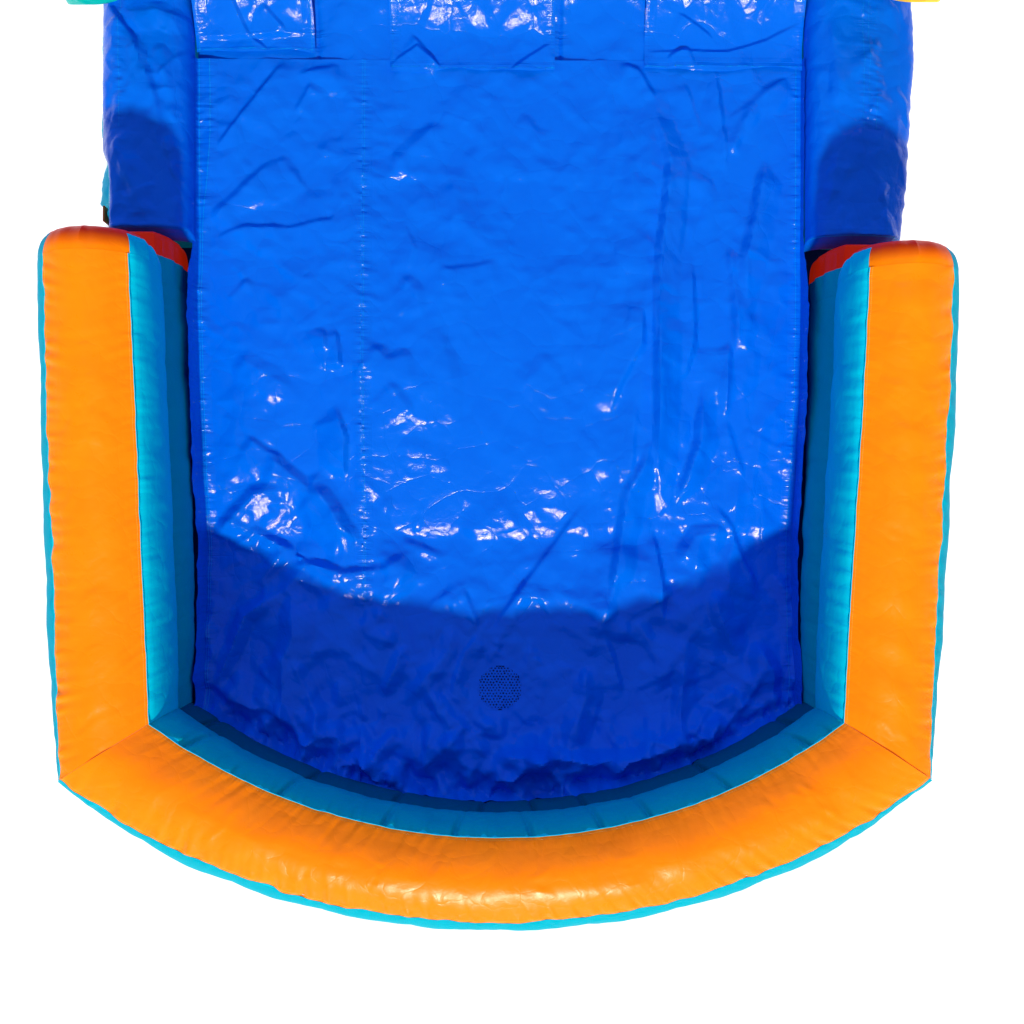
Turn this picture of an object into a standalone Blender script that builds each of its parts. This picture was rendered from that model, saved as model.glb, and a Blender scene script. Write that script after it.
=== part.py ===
# Inflatable water slide: a splash pool with two-lobed walls, a low landing, a channelled
# slide between inflated side walls, a platform and a climbing wall.
# Metres, +Z up. The origin is on the ground, in the middle of the pool; the pool's front
# wall is at -Y and the climbing wall at +Y.

import math

import bmesh
import bpy
from mathutils import Matrix, Vector

# General values
GAP = 0.0003  # between neighbouring pieces
LOBE_GAP = 0.0008  # between the two stacked tubes of a wall
SHEET = 0.003  # coated sheet
OVERRUN = 0.02  # how far a cutter runs past what it cuts

# Pool walls, measured along the sewn edges of the band on top
POOL_HALF_WIDTH = 0.825
BAND_WIDTH = 0.21
CAP_Y = 0.66  # where the side walls' tubes meet their end caps
INNER_CORNER_Y = -0.42
OUTER_CORNER_Y = -0.552
INNER_FRONT_Y = -0.6875
OUTER_FRONT_Y = -0.894
FRONT_HEIGHT = 0.436
BACK_HEIGHT = 0.57
UPPER_DEPTH = 0.26
BAND_CROWN = 0.042
UPPER_CAP_LENGTH = 0.09
LOWER_CAP_LENGTH = 0.135
OUTER_BULGE_SHARES = (0.26, 0.31)  # of the band's width: lower tube, upper tube
INNER_BULGE_SHARES = (0.10, 0.167)
FOOT_SHARES = (0.16, 0.84)  # where the wall's underside begins and ends across the band
WAIST_SHARES = (0.10, 0.90)  # the same at the sewn waist between the two tubes
CAP_INSET_SHARE = 0.62  # how much of a cap's half section is rounded away at its tip
GATHER_SHARE = 0.12  # how far the lobes are drawn in where the baffles are sewn
SIDE_STATIONS = 10
FRONT_STATIONS = 20
SIDE_STEPS = 6
CROWN_STEPS = 6
CAP_STEPS = 4

# Pool floor
GROUND_SHEET_INSET = 0.045  # from the band's outer seam to the edge of the ground sheet
LINER_SIDE_CLEARANCE = 0.003  # from its edge to the walls' inner seam
LINER_FRONT_INSET = 0.008
LINER_EDGE_RISE = 0.05
LINER_EDGE_WIDTH = 0.03
LINER_CLEARANCE = 0.02  # in front of the landing's bolsters
DRAIN_Y = -0.39
DRAIN_RADIUS = 0.065
DRAIN_FLAT_RADIUS = 0.13  # the liner has no folds within this distance of the drain
DRAIN_LEDGE = 0.008  # the ground sheet's opening is this much smaller
HOLE_RADIUS = 0.0024
HOLE_PITCH = 0.0112
HOLE_RINGS = 5
HOLE_SIDES = 6
DRAIN_SIDES = 36

# Run-out and landing between the pool and the slide
RUNOUT_Y = 0.10
BED_START_SHARE = 0.1  # of the run-out's length, where its bed is thick enough to begin
CAP_CLEARANCE = 0.017  # from the walls' rounded ends to the landing's bolsters
LANDING_BACK_Y = 1.28
LANDING_HEIGHT = 0.13
LANDING_RISE = 0.025
BOLSTER_HEIGHT = 0.215
BOLSTER_CROWN = 0.035
BOLSTER_ROUND = 0.05
BOLSTER_TAIL = 0.17  # how far the bolsters run on beside the foot of the slide
COVER_DROP = 0.07  # how far the landing's covers hang down the outer side

# Slide, platform and climbing wall
BED_SIDE_CLEARANCE = 0.025  # how much narrower the beds are than the pool on each side
SIDE_WALL_WIDTH = 0.22
SLIDE_ANGLE = math.radians(35)
FOOT_BLEND = 0.22
HEAD_BLEND = 0.16
PLATFORM_HEIGHT = 1.30
PLATFORM_LENGTH = 0.55
BED_DEPTH = 0.22
PLATFORM_DEPTH = 0.18
CHANNELS = 5
CHANNEL_STEPS = 4
CHANNEL_DRAW = 0.018
CLIMB_RUN = 0.62
CLIMB_DEPTH = 0.20
CLIMB_SWELL = 0.03
CLIMB_STEP_SHARES = (0.16, 0.38, 0.60, 0.82)  # places of the steps, from the platform down
STEP_RADIUS = 0.055
STEP_END_MARGIN = 0.24  # from the end of a step to the side wall
STEP_END_SHARES = ((0.0, 0.35), (0.3, 0.8), (1.0, 1.0))  # inset and size of the rings at an end
STEP_SEAT = 0.14  # flat strip of the climbing wall that a step is sewn to
LOOP_STEPS = (1, 3)  # hand loops are sewn beside these steps
LOOP_SPAN = 0.15
LOOP_RISE = 0.055
LOOP_WIDTH = 0.04
LOOP_THICKNESS = 0.004
LOOP_FOOT = 0.016  # flat end of the strap that is sewn down
LOOP_INSET = 0.12  # from the side wall to the middle of a loop

# Inflated side walls and their rails
WALL_FRONT_TOP = 0.45
WALL_SHOULDER_RUN = 0.50  # the top edge rises steeply over this length at the front
WALL_ABOVE_LANE = 0.40
WALL_ABOVE_PLATFORM = 0.58
WALL_TAIL = 0.035  # how far the side walls run past the climbing wall's foot
WALL_TAIL_TOP = 0.52
FLAT_BASE = 0.24  # the outer face is flat up to this height, for the fittings
WALL_SWELL = 0.045
WALL_BAFFLE_SHARE = 0.2  # of the swell that is left where a baffle is sewn
INNER_SWELL = 0.02
LINING_CLEARANCE = 0.03  # above the lane, where the inner face starts to swell
BAFFLE_PITCH = 0.26
RAIL_INSET = 0.005  # from the side wall's faces
RAIL_HEIGHT = 0.15
RAIL_NOSE = 0.17
RAIL_NOSE_FLARE = 0.09  # how far the nose turns outwards
RAIL_NOSE_DROP = 0.06
RAIL_TAIL = 0.07
RAIL_NOSE_SHARES = ((1.0, 0.45), (0.82, 0.74), (0.45, 0.93))  # place and size of its rings
RAIL_STEPS = 8

# Anchor fittings
LANDING_ANCHOR_INSET = 0.043  # from the bolster's front end
MIDDLE_ANCHOR_SHARE = 0.56  # of the way up the slide
BACK_ANCHOR_INSET = 0.36  # from the side wall's back end
ANCHOR_HEIGHT = 0.14
TAB_LENGTH = 0.04
TAB_HEIGHT = 0.07
TAB_THICKNESS = 0.003
RING_WIRE = 0.003
RING_CLEARANCE = 0.0006
RING_HALF_WIDTH = 0.027
RING_CORNER = 0.008
RING_DROP = 0.05

# Air inlet and deflation port
SLEEVE_RADIUS = 0.085
SLEEVE_LENGTH = 0.45
SLEEVE_WALL = 0.003
STRAP_WIDTH = 0.03
STRAP_THICKNESS = 0.003
STRAP_PLACE_SHARE = 0.7
PORT_INSET = 0.355  # from the platform's back edge to the front end of the zip
ZIP_LENGTH = 0.36
ZIP_HEIGHT = 0.045
ZIP_THICKNESS = 0.003
ZIP_Z = 0.105
SLIDER_LENGTH = 0.03
SLIDER_HEIGHT = 0.014
SLIDER_THICKNESS = 0.005
HEM_HEIGHT = 0.02
HEM_THICKNESS = 0.014
HEM_Z = 0.205
FLAP_HEIGHT = 0.14
FLAP_THICKNESS = 0.003
FLAP_MARGIN = 0.03
FITTING_BEVEL = 0.0006

# Values that follow from the ones above
WALL_OUTER_X = POOL_HALF_WIDTH + BAND_WIDTH
LINER_HALF_WIDTH = POOL_HALF_WIDTH - LINER_SIDE_CLEARANCE
LANDING_FRONT_Y = CAP_Y + LOWER_CAP_LENGTH + CAP_CLEARANCE
BOLSTER_BACK_Y = LANDING_BACK_Y + BOLSTER_TAIL
DECK = SHEET + GAP  # what stands on the ground sheet starts here
BED_HALF_WIDTH = POOL_HALF_WIDTH - BED_SIDE_CLEARANCE
BED_EDGE_X = BED_HALF_WIDTH - GAP
OUTER_FACE_X = BED_HALF_WIDTH + SIDE_WALL_WIDTH
STEP_HALF_LENGTH = BED_HALF_WIDTH - STEP_END_MARGIN
LOOP_X = BED_HALF_WIDTH - LOOP_INSET
SLIDE_SLOPE = math.tan(SLIDE_ANGLE)
SLIDE_RISE = PLATFORM_HEIGHT - LANDING_HEIGHT - LANDING_RISE
STRAIGHT_RUN = SLIDE_RISE / SLIDE_SLOPE - (FOOT_BLEND + HEAD_BLEND) / 2
SLIDE_TOP_Y = LANDING_BACK_Y + FOOT_BLEND + STRAIGHT_RUN + HEAD_BLEND
CLIMB_TOP_Y = SLIDE_TOP_Y + PLATFORM_LENGTH
CLIMB_FOOT_Y = CLIMB_TOP_Y + CLIMB_RUN
WALL_FRONT_Y = BOLSTER_BACK_Y + GAP
WALL_SHOULDER_Y = WALL_FRONT_Y + WALL_SHOULDER_RUN
WALL_BACK_Y = CLIMB_FOOT_Y + WALL_TAIL
RAIL_WIDTH = SIDE_WALL_WIDTH - 2 * RAIL_INSET
MIDDLE_ANCHOR_RUN = MIDDLE_ANCHOR_SHARE * (SLIDE_TOP_Y - LANDING_BACK_Y)
ANCHOR_PLACES = (
    ("landing", LANDING_FRONT_Y + LANDING_ANCHOR_INSET),
    ("middle", LANDING_BACK_Y + MIDDLE_ANCHOR_RUN),
    ("back", WALL_BACK_Y - BACK_ANCHOR_INSET),
)
SLEEVE_X = (BED_HALF_WIDTH + OUTER_FACE_X) / 2
PORT_Y = CLIMB_TOP_Y - PORT_INSET

COLOURS = {
    "orange": ((0.95, 0.25, 0.005), 0.32),
    "cyan": ((0.0, 0.36, 0.66), 0.38),
    "blue": ((0.0, 0.13, 0.80), 0.22),
    "ground": ((0.01, 0.05, 0.28), 0.5),
    "green": ((0.0, 0.50, 0.42), 0.35),
    "yellow": ((1.0, 0.68, 0.02), 0.35),
    "webbing": ((0.85, 0.16, 0.01), 0.8),
    "steel": ((0.62, 0.63, 0.65), 0.3),
    "zip": ((0.02, 0.02, 0.03), 0.6),
}


def mix(a, b, share):
    return a + (b - a) * share


def smooth(share):
    share = min(1.0, max(0.0, share))
    return share * share * (3 - 2 * share)


def spread(start, end, count):
    """count + 1 evenly spaced values from start to end."""
    return [mix(start, end, k / count) for k in range(count + 1)]


def clear_scene():
    for obj in list(bpy.data.objects):
        bpy.data.objects.remove(obj, do_unlink=True)


def finish_material(name):
    colour, roughness = COLOURS[name]
    material = bpy.data.materials.get(name) or bpy.data.materials.new(name)
    material.use_nodes = True
    shader = material.node_tree.nodes["Principled BSDF"]
    shader.inputs["Base Color"].default_value = (*colour, 1)
    shader.inputs["Roughness"].default_value = roughness
    shader.inputs["Metallic"].default_value = 1.0 if name == "steel" else 0.0
    return material


def add_object(name, bm, colour, origin=(0, 0, 0)):
    """Turns a bmesh into an object whose origin is at the given point."""
    bmesh.ops.recalc_face_normals(bm, faces=bm.faces)
    bmesh.ops.translate(bm, verts=bm.verts, vec=-Vector(origin))
    mesh = bpy.data.meshes.new(name)
    bm.to_mesh(mesh)
    bm.free()
    mesh.shade_smooth()
    mesh.set_sharp_from_angle(angle=math.radians(40))
    mesh.materials.append(finish_material(colour))
    obj = bpy.data.objects.new(name, mesh)
    obj.location = origin
    bpy.context.scene.collection.objects.link(obj)
    return obj


def strip_faces(bm, first, second, closed):
    """Two triangles between each pair of neighbours in two rows of vertices."""
    count = len(first)
    for j in range(count if closed else count - 1):
        k = (j + 1) % count
        bm.faces.new((first[j], first[k], second[k]))
        bm.faces.new((first[j], second[k], second[j]))


def loft(name, rings, colour, tip=None, closed=False, origin=(0, 0, 0)):
    """A solid through closed rings of equal length. tip closes the last ring to a point."""
    bm = bmesh.new()
    rows = [[bm.verts.new(p) for p in ring] for ring in rings]
    for first, second in zip(rows, rows[1:]):
        strip_faces(bm, first, second, closed=True)
    if closed:
        strip_faces(bm, rows[-1], rows[0], closed=True)
    else:
        bm.faces.new(rows[0])
        if tip is None:
            bm.faces.new(rows[-1])
        else:
            point = bm.verts.new(tip)
            last = rows[-1]
            for j, vertex in enumerate(last):
                bm.faces.new((vertex, last[(j + 1) % len(last)], point))
    return add_object(name, bm, colour, origin)


def shell(name, upper, lower, colour):
    """A thin solid between two grids of points that are split along the same diagonals."""
    bm = bmesh.new()
    grids = [[[bm.verts.new(p) for p in row] for row in grid] for grid in (upper, lower)]
    for grid in grids:
        for first, second in zip(grid, grid[1:]):
            strip_faces(bm, first, second, closed=False)
    top, bottom = grids

    def border(grid):
        left = [row[0] for row in grid[1:-1]]
        right = [row[-1] for row in grid[1:-1]]
        return grid[0] + right + grid[-1][::-1] + left[::-1]

    strip_faces(bm, border(top), border(bottom), closed=True)
    return add_object(name, bm, colour)


def cylinder_cutter(name, centre, radius, sides, low, high):
    bm = bmesh.new()
    bmesh.ops.create_cone(
        bm,
        cap_ends=True,
        segments=sides,
        radius1=radius,
        radius2=radius,
        depth=high - low,
    )
    bmesh.ops.translate(bm, verts=bm.verts, vec=(*centre, (low + high) / 2))
    cutter = add_object(name, bm, "steel")
    cutter.hide_render = True
    cutter.display_type = "WIRE"
    return cutter


def cut(obj, cutter):
    boolean = obj.modifiers.new("cut_" + cutter.name, "BOOLEAN")
    boolean.operation = "DIFFERENCE"
    boolean.object = cutter


# Pool walls


def arc_y(x, half_chord, end_y, middle_y):
    """Y on the arc through (+-half_chord, end_y) and (0, middle_y)."""
    sagitta = end_y - middle_y
    radius = (half_chord**2 + sagitta**2) / (2 * sagitta)
    return middle_y + radius - math.sqrt(radius**2 - x**2)


def inner_front_y(x):
    return arc_y(x, POOL_HALF_WIDTH, INNER_CORNER_Y, INNER_FRONT_Y)


def outer_front_y(x):
    return arc_y(x, WALL_OUTER_X, OUTER_CORNER_Y, OUTER_FRONT_Y)


def tube_section(place, foot, head, bulges, crown):
    """One closed section of an inflated tube. place turns a share of the band's width and
    a height into a point; foot and head are a height and the two shares there."""
    low, low_shares = foot
    high, high_shares = head
    section = [place(low_shares[0], low), place(low_shares[1], low)]
    for k in range(1, SIDE_STEPS):
        t = k / SIDE_STEPS
        swell = bulges[1] * math.sin(math.pi * t)
        section.append(place(mix(low_shares[1], high_shares[1], t) + swell, mix(low, high, t)))
    for k in range(CROWN_STEPS + 1):
        t = k / CROWN_STEPS
        across = mix(high_shares[1], high_shares[0], t)
        section.append(place(across, high + crown * math.sin(math.pi * t)))
    for k in range(SIDE_STEPS - 1, 0, -1):
        t = k / SIDE_STEPS
        swell = bulges[0] * math.sin(math.pi * t)
        section.append(place(mix(low_shares[0], high_shares[0], t) - swell, mix(low, high, t)))
    return section


def across_wall(inner, outer):
    """The function that places a share of the wall's width and a height."""
    inner = Vector((*inner, 0))
    reach = Vector((*outer, 0)) - inner

    def place(share, height):
        point = inner + reach * share
        point.z = height
        return point

    return place


def lower_section(place, top, draw=1.0):
    waist = top - UPPER_DEPTH
    bulges = (INNER_BULGE_SHARES[0] * draw, OUTER_BULGE_SHARES[0] * draw)
    return tube_section(place, (DECK, FOOT_SHARES), (waist, WAIST_SHARES), bulges, 0)


def upper_section(place, top, lowered, draw=1.0):
    """lowered leaves room for the band above the tube."""
    waist = top - UPPER_DEPTH + LOBE_GAP
    bulges = (INNER_BULGE_SHARES[1] * draw, OUTER_BULGE_SHARES[1] * draw)
    head = (top - lowered, (0.0, 1.0))
    return tube_section(place, (waist, WAIST_SHARES), head, bulges, BAND_CROWN)


def band_row(place, top, lowered):
    row = []
    for k in range(CROWN_STEPS + 1):
        t = k / CROWN_STEPS
        row.append(place(1 - t, top - lowered + BAND_CROWN * math.sin(math.pi * t)))
    return row


def drawn_in(k):
    """Every second station is a sewn baffle, where the lobes are drawn in."""
    return 1.0 if k % 2 else 1.0 - GATHER_SHARE


def wall_pieces(side_name, stations):
    """The lower tube, upper tube and top band of one stretch of wall. stations holds an
    inner point, an outer point and the height of the band's seams."""
    places = [(across_wall(inner, outer), top) for inner, outer, top in stations]
    lower = [lower_section(p, top, drawn_in(k)) for k, (p, top) in enumerate(places)]
    upper = [upper_section(p, top, SHEET + GAP, drawn_in(k)) for k, (p, top) in enumerate(places)]
    loft(side_name + "_wall_lower_tube", lower, "cyan")
    loft(side_name + "_wall_upper_tube", upper, "cyan")
    shell(
        side_name + "_wall_top_band",
        [band_row(p, top, 0) for p, top in places],
        [band_row(p, top, SHEET) for p, top in places],
        "orange",
    )


def side_wall(side, side_name):
    stations = []
    for k in range(SIDE_STATIONS + 1):
        t = k / SIDE_STATIONS
        inner = (side * POOL_HALF_WIDTH, mix(INNER_CORNER_Y, CAP_Y, t))
        outer = (side * WALL_OUTER_X, mix(OUTER_CORNER_Y, CAP_Y, t))
        stations.append((inner, outer, mix(FRONT_HEIGHT, BACK_HEIGHT, t)))
    wall_pieces(side_name, stations)
    end_caps(side, side_name, CAP_Y + GAP)


def cap_rings(side, y, length, section):
    """Rings of a rounded end: the section shrinks towards its middle as it moves out."""
    first = section(across_wall((side * POOL_HALF_WIDTH, y), (side * WALL_OUTER_X, y)))
    centre = sum(first, Vector()) / len(first)
    rings = []
    for k in range(CAP_STEPS):
        angle = math.radians(90) * k / CAP_STEPS
        size = 1 - CAP_INSET_SHARE * (1 - math.cos(angle))
        move = Vector((0, length * math.sin(angle), 0))
        rings.append([centre + (p - centre) * size + move for p in first])
    return rings, centre + Vector((0, length, 0))


def end_caps(side, side_name, start):
    """The rounded back ends of a side wall, one for each tube."""
    top = BACK_HEIGHT
    rings, tip = cap_rings(side, start, LOWER_CAP_LENGTH, lambda p: lower_section(p, top))
    loft(side_name + "_wall_lower_end", rings, "orange", tip)
    rings, tip = cap_rings(side, start, UPPER_CAP_LENGTH, lambda p: upper_section(p, top, 0))
    loft(side_name + "_wall_upper_end", rings, "orange", tip)


def front_wall():
    """Both seams of the front wall are arcs, and the ends are cut along the mitres."""
    stations = []
    for share in spread(-1, 1, FRONT_STATIONS):
        inner_x = share * POOL_HALF_WIDTH
        outer_x = share * WALL_OUTER_X
        inner = (inner_x, inner_front_y(inner_x) - 2 * GAP)
        outer = (outer_x, outer_front_y(outer_x) - 2 * GAP)
        stations.append((inner, outer, FRONT_HEIGHT))
    wall_pieces("front", stations)


# Pool floor


def lane_height(y):
    """Height of the lane above the ground sheet, from the pool up to the platform."""
    rise = LANDING_HEIGHT * smooth((y - RUNOUT_Y) / (LANDING_FRONT_Y - RUNOUT_Y))
    tail = (y - LANDING_FRONT_Y) / (LANDING_BACK_Y - LANDING_FRONT_Y)
    rise += LANDING_RISE * min(1.0, max(0.0, tail))
    run = y - LANDING_BACK_Y
    if run <= 0:
        return rise
    if run < FOOT_BLEND:
        return rise + SLIDE_SLOPE * run**2 / (2 * FOOT_BLEND)
    if run < FOOT_BLEND + STRAIGHT_RUN:
        return rise + SLIDE_SLOPE * (run - FOOT_BLEND / 2)
    left = max(0.0, SLIDE_TOP_Y - y)
    return PLATFORM_HEIGHT - SLIDE_SLOPE * left**2 / (2 * HEAD_BLEND)


def ground_sheet():
    bm = bmesh.new()
    edge_x = WALL_OUTER_X - GROUND_SHEET_INSET
    outline = [(x, outer_front_y(x) + GROUND_SHEET_INSET) for x in spread(-edge_x, edge_x, 16)]
    back_y = LANDING_BACK_Y - GAP
    outline += [(edge_x, back_y), (-edge_x, back_y)]
    face = bm.faces.new([bm.verts.new((x, y, 0)) for x, y in outline])
    raised = bmesh.ops.extrude_face_region(bm, geom=[face])["geom"]
    lifted = [v for v in raised if isinstance(v, bmesh.types.BMVert)]
    bmesh.ops.translate(bm, verts=lifted, vec=(0, 0, SHEET))
    sheet = add_object("pool_ground_sheet", bm, "ground")
    drain_cutter = cylinder_cutter(
        "ground_drain_cutter",
        (0, DRAIN_Y),
        DRAIN_RADIUS - DRAIN_LEDGE,
        DRAIN_SIDES,
        -OVERRUN,
        OVERRUN,
    )
    cut(sheet, drain_cutter)


# Main folds of the liner: X and Y of the two ends, half width and height
FOLDS = (
    ((0.40, 1.20), (0.36, 0.00), 0.07, 0.012),
    ((0.36, 0.00), (0.24, -0.30), 0.07, 0.010),
    ((-0.40, 1.10), (-0.37, 0.10), 0.06, 0.008),
    ((-0.10, 1.00), (-0.22, 0.30), 0.08, 0.008),
    ((-0.66, -0.10), (-0.30, -0.38), 0.07, 0.012),
    ((-0.52, 0.10), (-0.20, -0.10), 0.07, 0.008),
    ((0.10, 0.05), (0.62, -0.12), 0.08, 0.009),
    ((0.66, -0.05), (0.40, -0.42), 0.06, 0.011),
    ((-0.30, -0.52), (0.28, -0.60), 0.05, 0.010),
)
FOLD_FADE = 0.10  # the folds end this far before the liner's sewn end


def fold_height(x, y):
    """The highest of the folds at a point, fading out by the drain and the sewn end."""
    highest = 0.0
    point = Vector((x, y))
    for start, end, half_width, height in FOLDS:
        start = Vector(start)
        along = Vector(end) - start
        share = min(1.0, max(0.0, (point - start).dot(along) / along.length_squared))
        distance = (point - start - along * share).length
        highest = max(highest, height * smooth(1 - distance / (2 * half_width)))
    drain = (point - Vector((0, DRAIN_Y))).length
    clear = smooth((drain - DRAIN_FLAT_RADIUS) / DRAIN_FLAT_RADIUS)
    return highest * clear * smooth((LANDING_BACK_Y - y) / FOLD_FADE)


def bed_start_y():
    return mix(RUNOUT_Y, LANDING_FRONT_Y, BED_START_SHARE)


def landing_rows():
    """Rows shared by the liner and the bed under it, so that their facets agree."""
    return spread(bed_start_y(), LANDING_FRONT_Y, 7) + spread(LANDING_FRONT_Y, LANDING_BACK_Y - GAP, 3)[1:]


def liner_half_width(y):
    narrowing = smooth((y - CAP_Y) / (LANDING_FRONT_Y - LINER_CLEARANCE - CAP_Y))
    return mix(LINER_HALF_WIDTH, BED_EDGE_X, narrowing)


def liner():
    """The pool's floor sheet: turned up at its edges, with its main folds."""
    edge_share = LINER_EDGE_WIDTH / LINER_HALF_WIDTH
    across = [-1] + spread(-1 + edge_share, 1 - edge_share, 18) + [1]
    rows = []
    for share in [0, 0.04] + spread(0.12, 1, 8):
        row = []
        for s in across:
            x = s * LINER_HALF_WIDTH
            row.append((x, mix(inner_front_y(x) + LINER_FRONT_INSET, RUNOUT_Y, share)))
        rows.append(row)
    for y in landing_rows():
        rows.append([(s * liner_half_width(y), y) for s in across])
    upper = []
    lower = []
    for i, row in enumerate(rows):
        upper.append([])
        lower.append([])
        for j, (x, y) in enumerate(row):
            at_edge = i == 0 or j in (0, len(row) - 1)
            height = DECK + GAP + lane_height(y)
            height += LINER_EDGE_RISE if at_edge else fold_height(x, y)
            lower[-1].append((x, y, height))
            upper[-1].append((x, y, height + SHEET))
    sheet = shell("pool_liner", upper, lower, "blue")
    low = DECK + GAP - OVERRUN
    cutter = cylinder_cutter(
        "liner_drain_cutter", (0, DRAIN_Y), DRAIN_RADIUS, DRAIN_SIDES, low, low + 2 * OVERRUN
    )
    cut(sheet, cutter)


def drain_patch():
    """A disc with rings of small holes on a triangular pitch."""
    bm = bmesh.new()
    bmesh.ops.create_cone(
        bm,
        cap_ends=True,
        segments=DRAIN_SIDES,
        radius1=DRAIN_RADIUS - GAP,
        radius2=DRAIN_RADIUS - GAP,
        depth=SHEET,
    )
    middle = DECK + SHEET / 2
    bmesh.ops.translate(bm, verts=bm.verts, vec=(0, DRAIN_Y, middle))
    patch = add_object("drain_patch", bm, "blue")
    holes = bmesh.new()
    for row in range(-HOLE_RINGS, HOLE_RINGS + 1):
        count = 2 * HOLE_RINGS + 1 - abs(row)
        for k in range(count):
            x = (k - (count - 1) / 2) * HOLE_PITCH
            y = row * HOLE_PITCH * math.sin(math.radians(60))
            made = bmesh.ops.create_cone(
                holes,
                cap_ends=True,
                segments=HOLE_SIDES,
                radius1=HOLE_RADIUS,
                radius2=HOLE_RADIUS,
                depth=2 * OVERRUN,
            )
            bmesh.ops.translate(holes, verts=made["verts"], vec=(x, DRAIN_Y + y, middle))
    cutter = add_object("drain_holes_cutter", holes, "steel")
    cutter.hide_render = True
    cutter.display_type = "WIRE"
    cut(patch, cutter)


# Landing, slide, platform and climbing wall


def bed_stations(channels):
    return spread(-BED_EDGE_X, BED_EDGE_X, channels * CHANNEL_STEPS)


def channel_draw(x, channels):
    """How far the bed's face is drawn down at its lengthwise seams."""
    phase = (x + BED_EDGE_X) / (2 * BED_EDGE_X) * channels
    return CHANNEL_DRAW * (1 - math.sqrt(abs(math.sin(math.pi * phase))))


def channelled_bed(name, rows, top, bottom, colour):
    """An inflated mattress with sewn channels. rows are the places along Y."""
    rings = []
    for x in bed_stations(CHANNELS):
        draw = channel_draw(x, CHANNELS)
        ring = [(x, y, top(y) - draw) for y in rows]
        ring += [(x, y, bottom(y)) for y in reversed(rows)]
        rings.append(ring)
    return loft(name, rings, colour)


def bed_cover(name, rows, top, colour):
    """The sheet sewn down on a channelled bed."""
    grids = []
    for lift in (GAP + SHEET, GAP):
        grid = []
        for x in bed_stations(CHANNELS):
            draw = channel_draw(x, CHANNELS)
            grid.append([(x, y, top(y) - draw + lift) for y in rows])
        grids.append(grid)
    return shell(name, *grids, colour)


def landing_bed():
    rows = landing_rows()
    rings = []
    for x in (-BED_EDGE_X, BED_EDGE_X):
        ring = [(x, y, DECK + lane_height(y)) for y in rows]
        rings.append(ring + [(x, rows[-1], DECK), (x, rows[0], DECK)])
    loft("landing_bed", rings, "ground")


def bolster_section(side, y, lowered):
    """Section of a landing bolster: a flat outer side, rounded shoulders and a crown."""
    inner = BED_HALF_WIDTH
    outer = OUTER_FACE_X
    section = [(inner, DECK), (outer, DECK)]
    section += bolster_top(inner, outer, lowered)
    return [Vector((side * x, y, z)) for x, z in section]


def bolster_top(inner, outer, lowered):
    """Points over the top of a bolster, from its outer face to its inner face."""
    points = [(outer, BOLSTER_HEIGHT - COVER_DROP)]
    middle = (inner + outer) / 2
    half = (outer - inner) / 2
    steps = 8
    for k in range(steps + 1):
        angle = math.pi * k / steps
        corner = math.cos(angle)
        x = middle + (half - lowered) * math.copysign(abs(corner) ** 0.5, corner)
        rise = (BOLSTER_ROUND + BOLSTER_CROWN) * math.sqrt(math.sin(angle))
        points.append((x, BOLSTER_HEIGHT - BOLSTER_ROUND - lowered + rise))
    return points


def landing_bolster(side, side_name):
    front = LANDING_FRONT_Y
    rows = spread(front, BOLSTER_BACK_Y, 4)
    lowered = SHEET + GAP
    rings = [bolster_section(side, y, lowered) for y in rows]
    loft(side_name + "_landing_bolster", rings, "cyan")
    upper = []
    lower = []
    for y in rows:
        outline = bolster_top(BED_HALF_WIDTH, OUTER_FACE_X, 0)[1:]
        inside = bolster_top(BED_HALF_WIDTH, OUTER_FACE_X, SHEET)[1:]
        upper.append([Vector((side * x, y, z)) for x, z in outline])
        lower.append([Vector((side * x, y, z)) for x, z in inside])
    shell(side_name + "_landing_cover", upper, lower, "blue")


def slide():
    foot = LANDING_BACK_Y
    bends = spread(foot, foot + FOOT_BLEND, 4)
    straight = spread(foot + FOOT_BLEND, foot + FOOT_BLEND + STRAIGHT_RUN, 4)[1:]
    head = spread(SLIDE_TOP_Y - HEAD_BLEND, SLIDE_TOP_Y - GAP, 3)[1:]
    rows = bends + straight + head
    channelled_bed(
        "slide_bed",
        rows,
        lambda y: DECK + lane_height(y),
        lambda y: max(0.0, lane_height(y) - BED_DEPTH),
        "cyan",
    )
    bed_cover("lane_sheet", rows, lambda y: DECK + lane_height(y), "blue")
    deck_rows = spread(SLIDE_TOP_Y, CLIMB_TOP_Y - GAP, 2)
    channelled_bed(
        "platform_bed",
        deck_rows,
        lambda y: DECK + PLATFORM_HEIGHT,
        lambda y: PLATFORM_HEIGHT - PLATFORM_DEPTH,
        "cyan",
    )
    bed_cover("platform_mat", deck_rows, lambda y: DECK + PLATFORM_HEIGHT, "blue")


def climb_point(share, lift=0.0):
    """A point on the climbing wall's face, lifted square to it."""
    along = Vector((CLIMB_RUN, -PLATFORM_HEIGHT)).normalized()
    y = mix(CLIMB_TOP_Y, CLIMB_FOOT_Y, share) - along.y * lift
    z = mix(PLATFORM_HEIGHT, 0.0, share) + along.x * lift
    return y, z


def climb_length():
    return math.hypot(CLIMB_RUN, PLATFORM_HEIGHT)


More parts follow.
